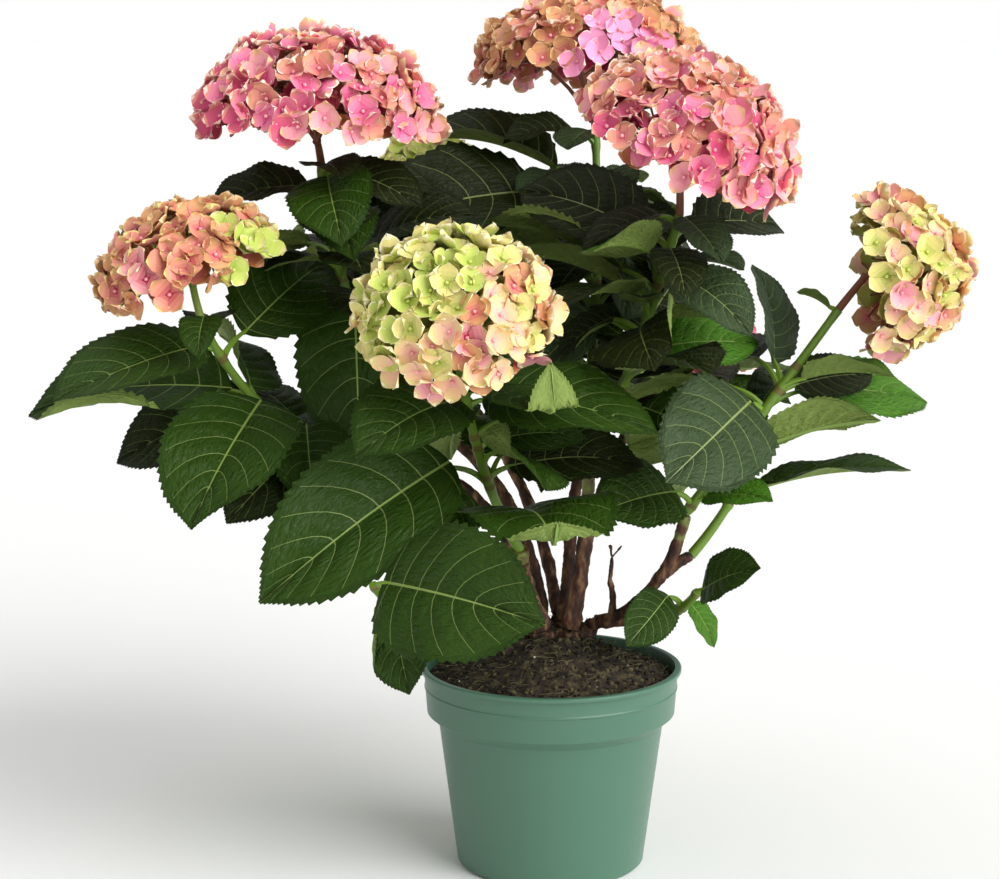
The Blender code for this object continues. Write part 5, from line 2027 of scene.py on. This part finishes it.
class BuildCanes(bpy.types.Operator):
    """Builds the woody canes with their bark, leaf-scar rings and green tops"""

    bl_idname = "hydrangea.build_canes"
    bl_label = "Canes"

    def execute(self, context):
        settings = context.scene.hydrangea.wood
        bark = bark_finish(settings)
        young = mottled_finish(
            "young_wood",
            ((0.35, settings.young), (0.60, settings.bark)),
            0.55,
            160,
            0.4,
            0.0004,
        )
        for number, (name, cane) in enumerate(CANES.items()):
            random = np.random.default_rng((SEED, number))
            places = np.linspace(0, 1, CANE_STEPS)
            points = np.array([cane_point(cane, place) for place in places])
            steps = np.linalg.norm(np.diff(points, axis=0), axis=1)
            run = np.concatenate([[0], np.cumsum(steps)])
            shift = random.uniform(-CANE_RING_SHIFT, CANE_RING_SHIFT)
            rings = np.arange(0.012, run[-1] - 0.004, CANE_RING) + shift
            swell = sum(np.exp(-(((run - ring) / CANE_RING_WIDTH) ** 2)) for ring in rings)
            swell = swell + np.exp(-(((run - run[-1]) / 0.004) ** 2))
            foot_radius = SLIMMER_FEET.get(name, cane.foot_radius)
            radii = np.interp(places, (0, 1), (foot_radius, cane.tip_radius))
            radii = radii * (CANE_SLIM + CANE_RING_SWELL * swell)
            sway = CANE_SWAY * cane.foot_radius * np.sin(pi * places)[:, None]
            points = points + sway * random.normal(0, 1, (1, 3)) * np.sin(9 * places)[:, None]
            pieces = [limb(name + "_wood", points, radii, CANE_SIDES_FINE)]
            for stub in STUBS.values():
                if stub.cane == name:
                    root = cane_point(cane, stub.place)
                    ways = np.linspace(0, 1, STUB_STEPS)
                    sways = [np.sin(7 * way) * sin(pi * way) * STUB_SWAY for way in ways]
                    run_out = np.array(stub.tip) - root
                    line = [root + way * run_out + sway for way, sway in zip(ways, sways)]
                    knots = 1 + STUB_KNOTS * np.sin(19 * ways) ** 8
                    radii = np.interp(ways, (0, 1), (stub.foot_radius, stub.tip_radius)) * knots
                    pieces.append(limb(name + "_stub", line, radii, CANE_SIDES_FINE))
            for foot, tip, knob in TWIGLETS.get(name, ()):
                line = [np.array(foot) + step * (np.array(tip) - foot) for step in TWIGLET_STEPS]
                radii = (*TWIGLET_RADII, knob, 0.6 * knob)
                pieces.append(limb(name + "_twiglet", line, radii, 7))
            made = joined(name + "_bark", pieces)
            apply_modifier(made, "SUBSURF", levels=2)
            for size, share in BARK_RELIEF:
                roughen(made, size, share * settings.relief)
            coat(made, 50, bark, young)
            turn = cane_point(cane, YOUNG_FROM)
            way = unit(cane_point(cane, YOUNG_FROM + 0.05) - cane_point(cane, YOUNG_FROM - 0.05))
            for face in made.data.polygons:
                face.material_index = int(np.dot(np.array(face.center) - turn, way) > 0)
            hand_over(made, "cane_bark", name)
        return {"FINISHED"}


class BuildFoliage(bpy.types.Operator):
    """Builds the shoots' stems and leafstalks, and their toothed, quilted leaves"""

    bl_idname = "hydrangea.build_foliage"
    bl_label = "Foliage"

    def execute(self, context):
        settings = context.scene.hydrangea.foliage
        finishes = foliage_finishes(settings)
        pattern = BladePattern()
        for name, leaves in deal_leaves().items():
            number = list(SHOOTS).index(name)
            random = np.random.default_rng((SEED, 40 + number))
            blades, stems = Heap(), Heap()
            grow_stem(stems, name, leaves)
            pruned = PRUNED.get(name, ())
            for leaf in leaves:
                form = form_of(leaf, random)
                if leaf not in LEAVES and round(leaf.place, 2) in pruned:
                    continue
                grow_blade(blades, pattern, leaf, form, palette_of(form.shade), random)
                grow_stalk(stems, leaf, random)
            short = name.removeprefix("shoot_")
            hand_over(blades.piece("leaves_" + short, finishes), "leaf_green", name)
            hand_over(stems.piece("stems_" + short, finishes), "leaf_green")
        return {"FINISHED"}


class BuildBlossom(bpy.types.Operator):
    """Builds the flower heads, their florets, branches and flower stalks"""

    bl_idname = "hydrangea.build_blossom"
    bl_label = "Blossom"

    def execute(self, context):
        settings = context.scene.hydrangea.blossom
        finishes = blossom_finishes(settings)
        for number, (name, bloom) in enumerate(BLOOMS.items()):
            random = np.random.default_rng((SEED, 80 + number))
            florets, twigs = Heap(), Heap()
            grow_head(florets, twigs, name, random)
            short = name.removeprefix("bloom_")
            hand_over(florets.piece("florets_" + short, finishes, 70), bloom.petals, name)
            hand_over(twigs.piece("flower_twigs_" + short, finishes), bloom.petals)
        return {"FINISHED"}


class BuildStage(bpy.types.Operator):
    """Sets up the pale floor, the soft studio light and the camera"""

    bl_idname = "hydrangea.build_stage"
    bl_label = "Stage"

    def execute(self, context):
        settings = context.scene.hydrangea.stage
        alone()
        bpy.ops.mesh.primitive_circle_add(vertices=64, radius=FLOOR_RADIUS, fill_type="NGON")
        floor = settle(bpy.context.object, "floor")
        floor.data.materials.append(finish_of("floor_paper", settings.floor, 0.9, 40, 0.02))
        world = bpy.data.worlds.new("studio")
        world.use_nodes = True
        tree = world.node_tree
        place = wire(tree, "ShaderNodeTexCoord")
        parts = wire(tree, "ShaderNodeSeparateXYZ", Vector=place.outputs["Generated"])
        ramp = wire(tree, "ShaderNodeValToRGB", Fac=parts.outputs[2])
        sky = ((0.02, 1.0), (0.16, settings.haze), (0.45, settings.haze), (0.95, settings.daylight))
        set_stops(ramp, [(height, (strength,) * 3) for height, strength in sky])
        tree.links.new(ramp.outputs[0], tree.nodes["Background"].inputs["Color"])
        context.scene.world = world
        for name, place, strength, angle in LAMPS:
            alone()
            turn = (LAMP_AIM - Vector(place)).to_track_quat("-Z", "Y").to_euler()
            bpy.ops.object.light_add(type="SUN", location=place, rotation=turn)
            lamp = bpy.context.object
            lamp.name = name
            lamp.data.energy = strength
            lamp.data.angle = radians(angle)
        alone()
        bpy.ops.object.camera_add(location=CAMERA_PLACE, rotation=(radians(90 - CAMERA_PITCH), 0, 0))
        camera = bpy.context.object
        camera.data.lens = CAMERA_LENS
        camera.data.sensor_width = 36
        camera.data.clip_start = 0.05
        camera.data.clip_end = 200
        context.scene.camera = camera
        context.scene.view_settings.view_transform = "Standard"
        return {"FINISHED"}


OPERATORS = (BuildPot, BuildSoil, BuildCrown, BuildCanes, BuildFoliage, BuildBlossom, BuildStage)


class HydrangeaPanel(bpy.types.Panel):
    """Lists the builders of the hydrangea's pieces and their settings"""

    bl_idname = "VIEW3D_PT_hydrangea"
    bl_label = "Hydrangea"
    bl_space_type = "VIEW_3D"
    bl_region_type = "UI"
    bl_category = "Hydrangea"

    def draw(self, context):
        settings = context.scene.hydrangea
        for operator in OPERATORS:
            self.layout.operator(operator.bl_idname)
        for part in ("pot", "soil", "wood", "foliage", "blossom", "stage"):
            group = getattr(settings, part)
            box = self.layout.box()
            for name in group.bl_rna.properties.keys():
                if name not in ("rna_type", "name"):
                    box.prop(group, name)


CLASSES = (
    PotSettings,
    SoilSettings,
    WoodSettings,
    FoliageSettings,
    BlossomSettings,
    StageSettings,
    HydrangeaSettings,
    *OPERATORS,
    HydrangeaPanel,
)


def register():
    for made in CLASSES:
        bpy.utils.register_class(made)
    bpy.types.Scene.hydrangea = bpy.props.PointerProperty(type=HydrangeaSettings)


def unregister():
    del bpy.types.Scene.hydrangea
    for made in reversed(CLASSES):
        bpy.utils.unregister_class(made)


def main():
    register()
    bpy.ops.hydrangea.build_pot()
    bpy.ops.hydrangea.build_crown()
    bpy.ops.hydrangea.build_soil()
    bpy.ops.hydrangea.build_canes()
    bpy.ops.hydrangea.build_foliage()
    bpy.ops.hydrangea.build_blossom()
    bpy.ops.hydrangea.build_stage()


if __name__ == "__main__":
    main()
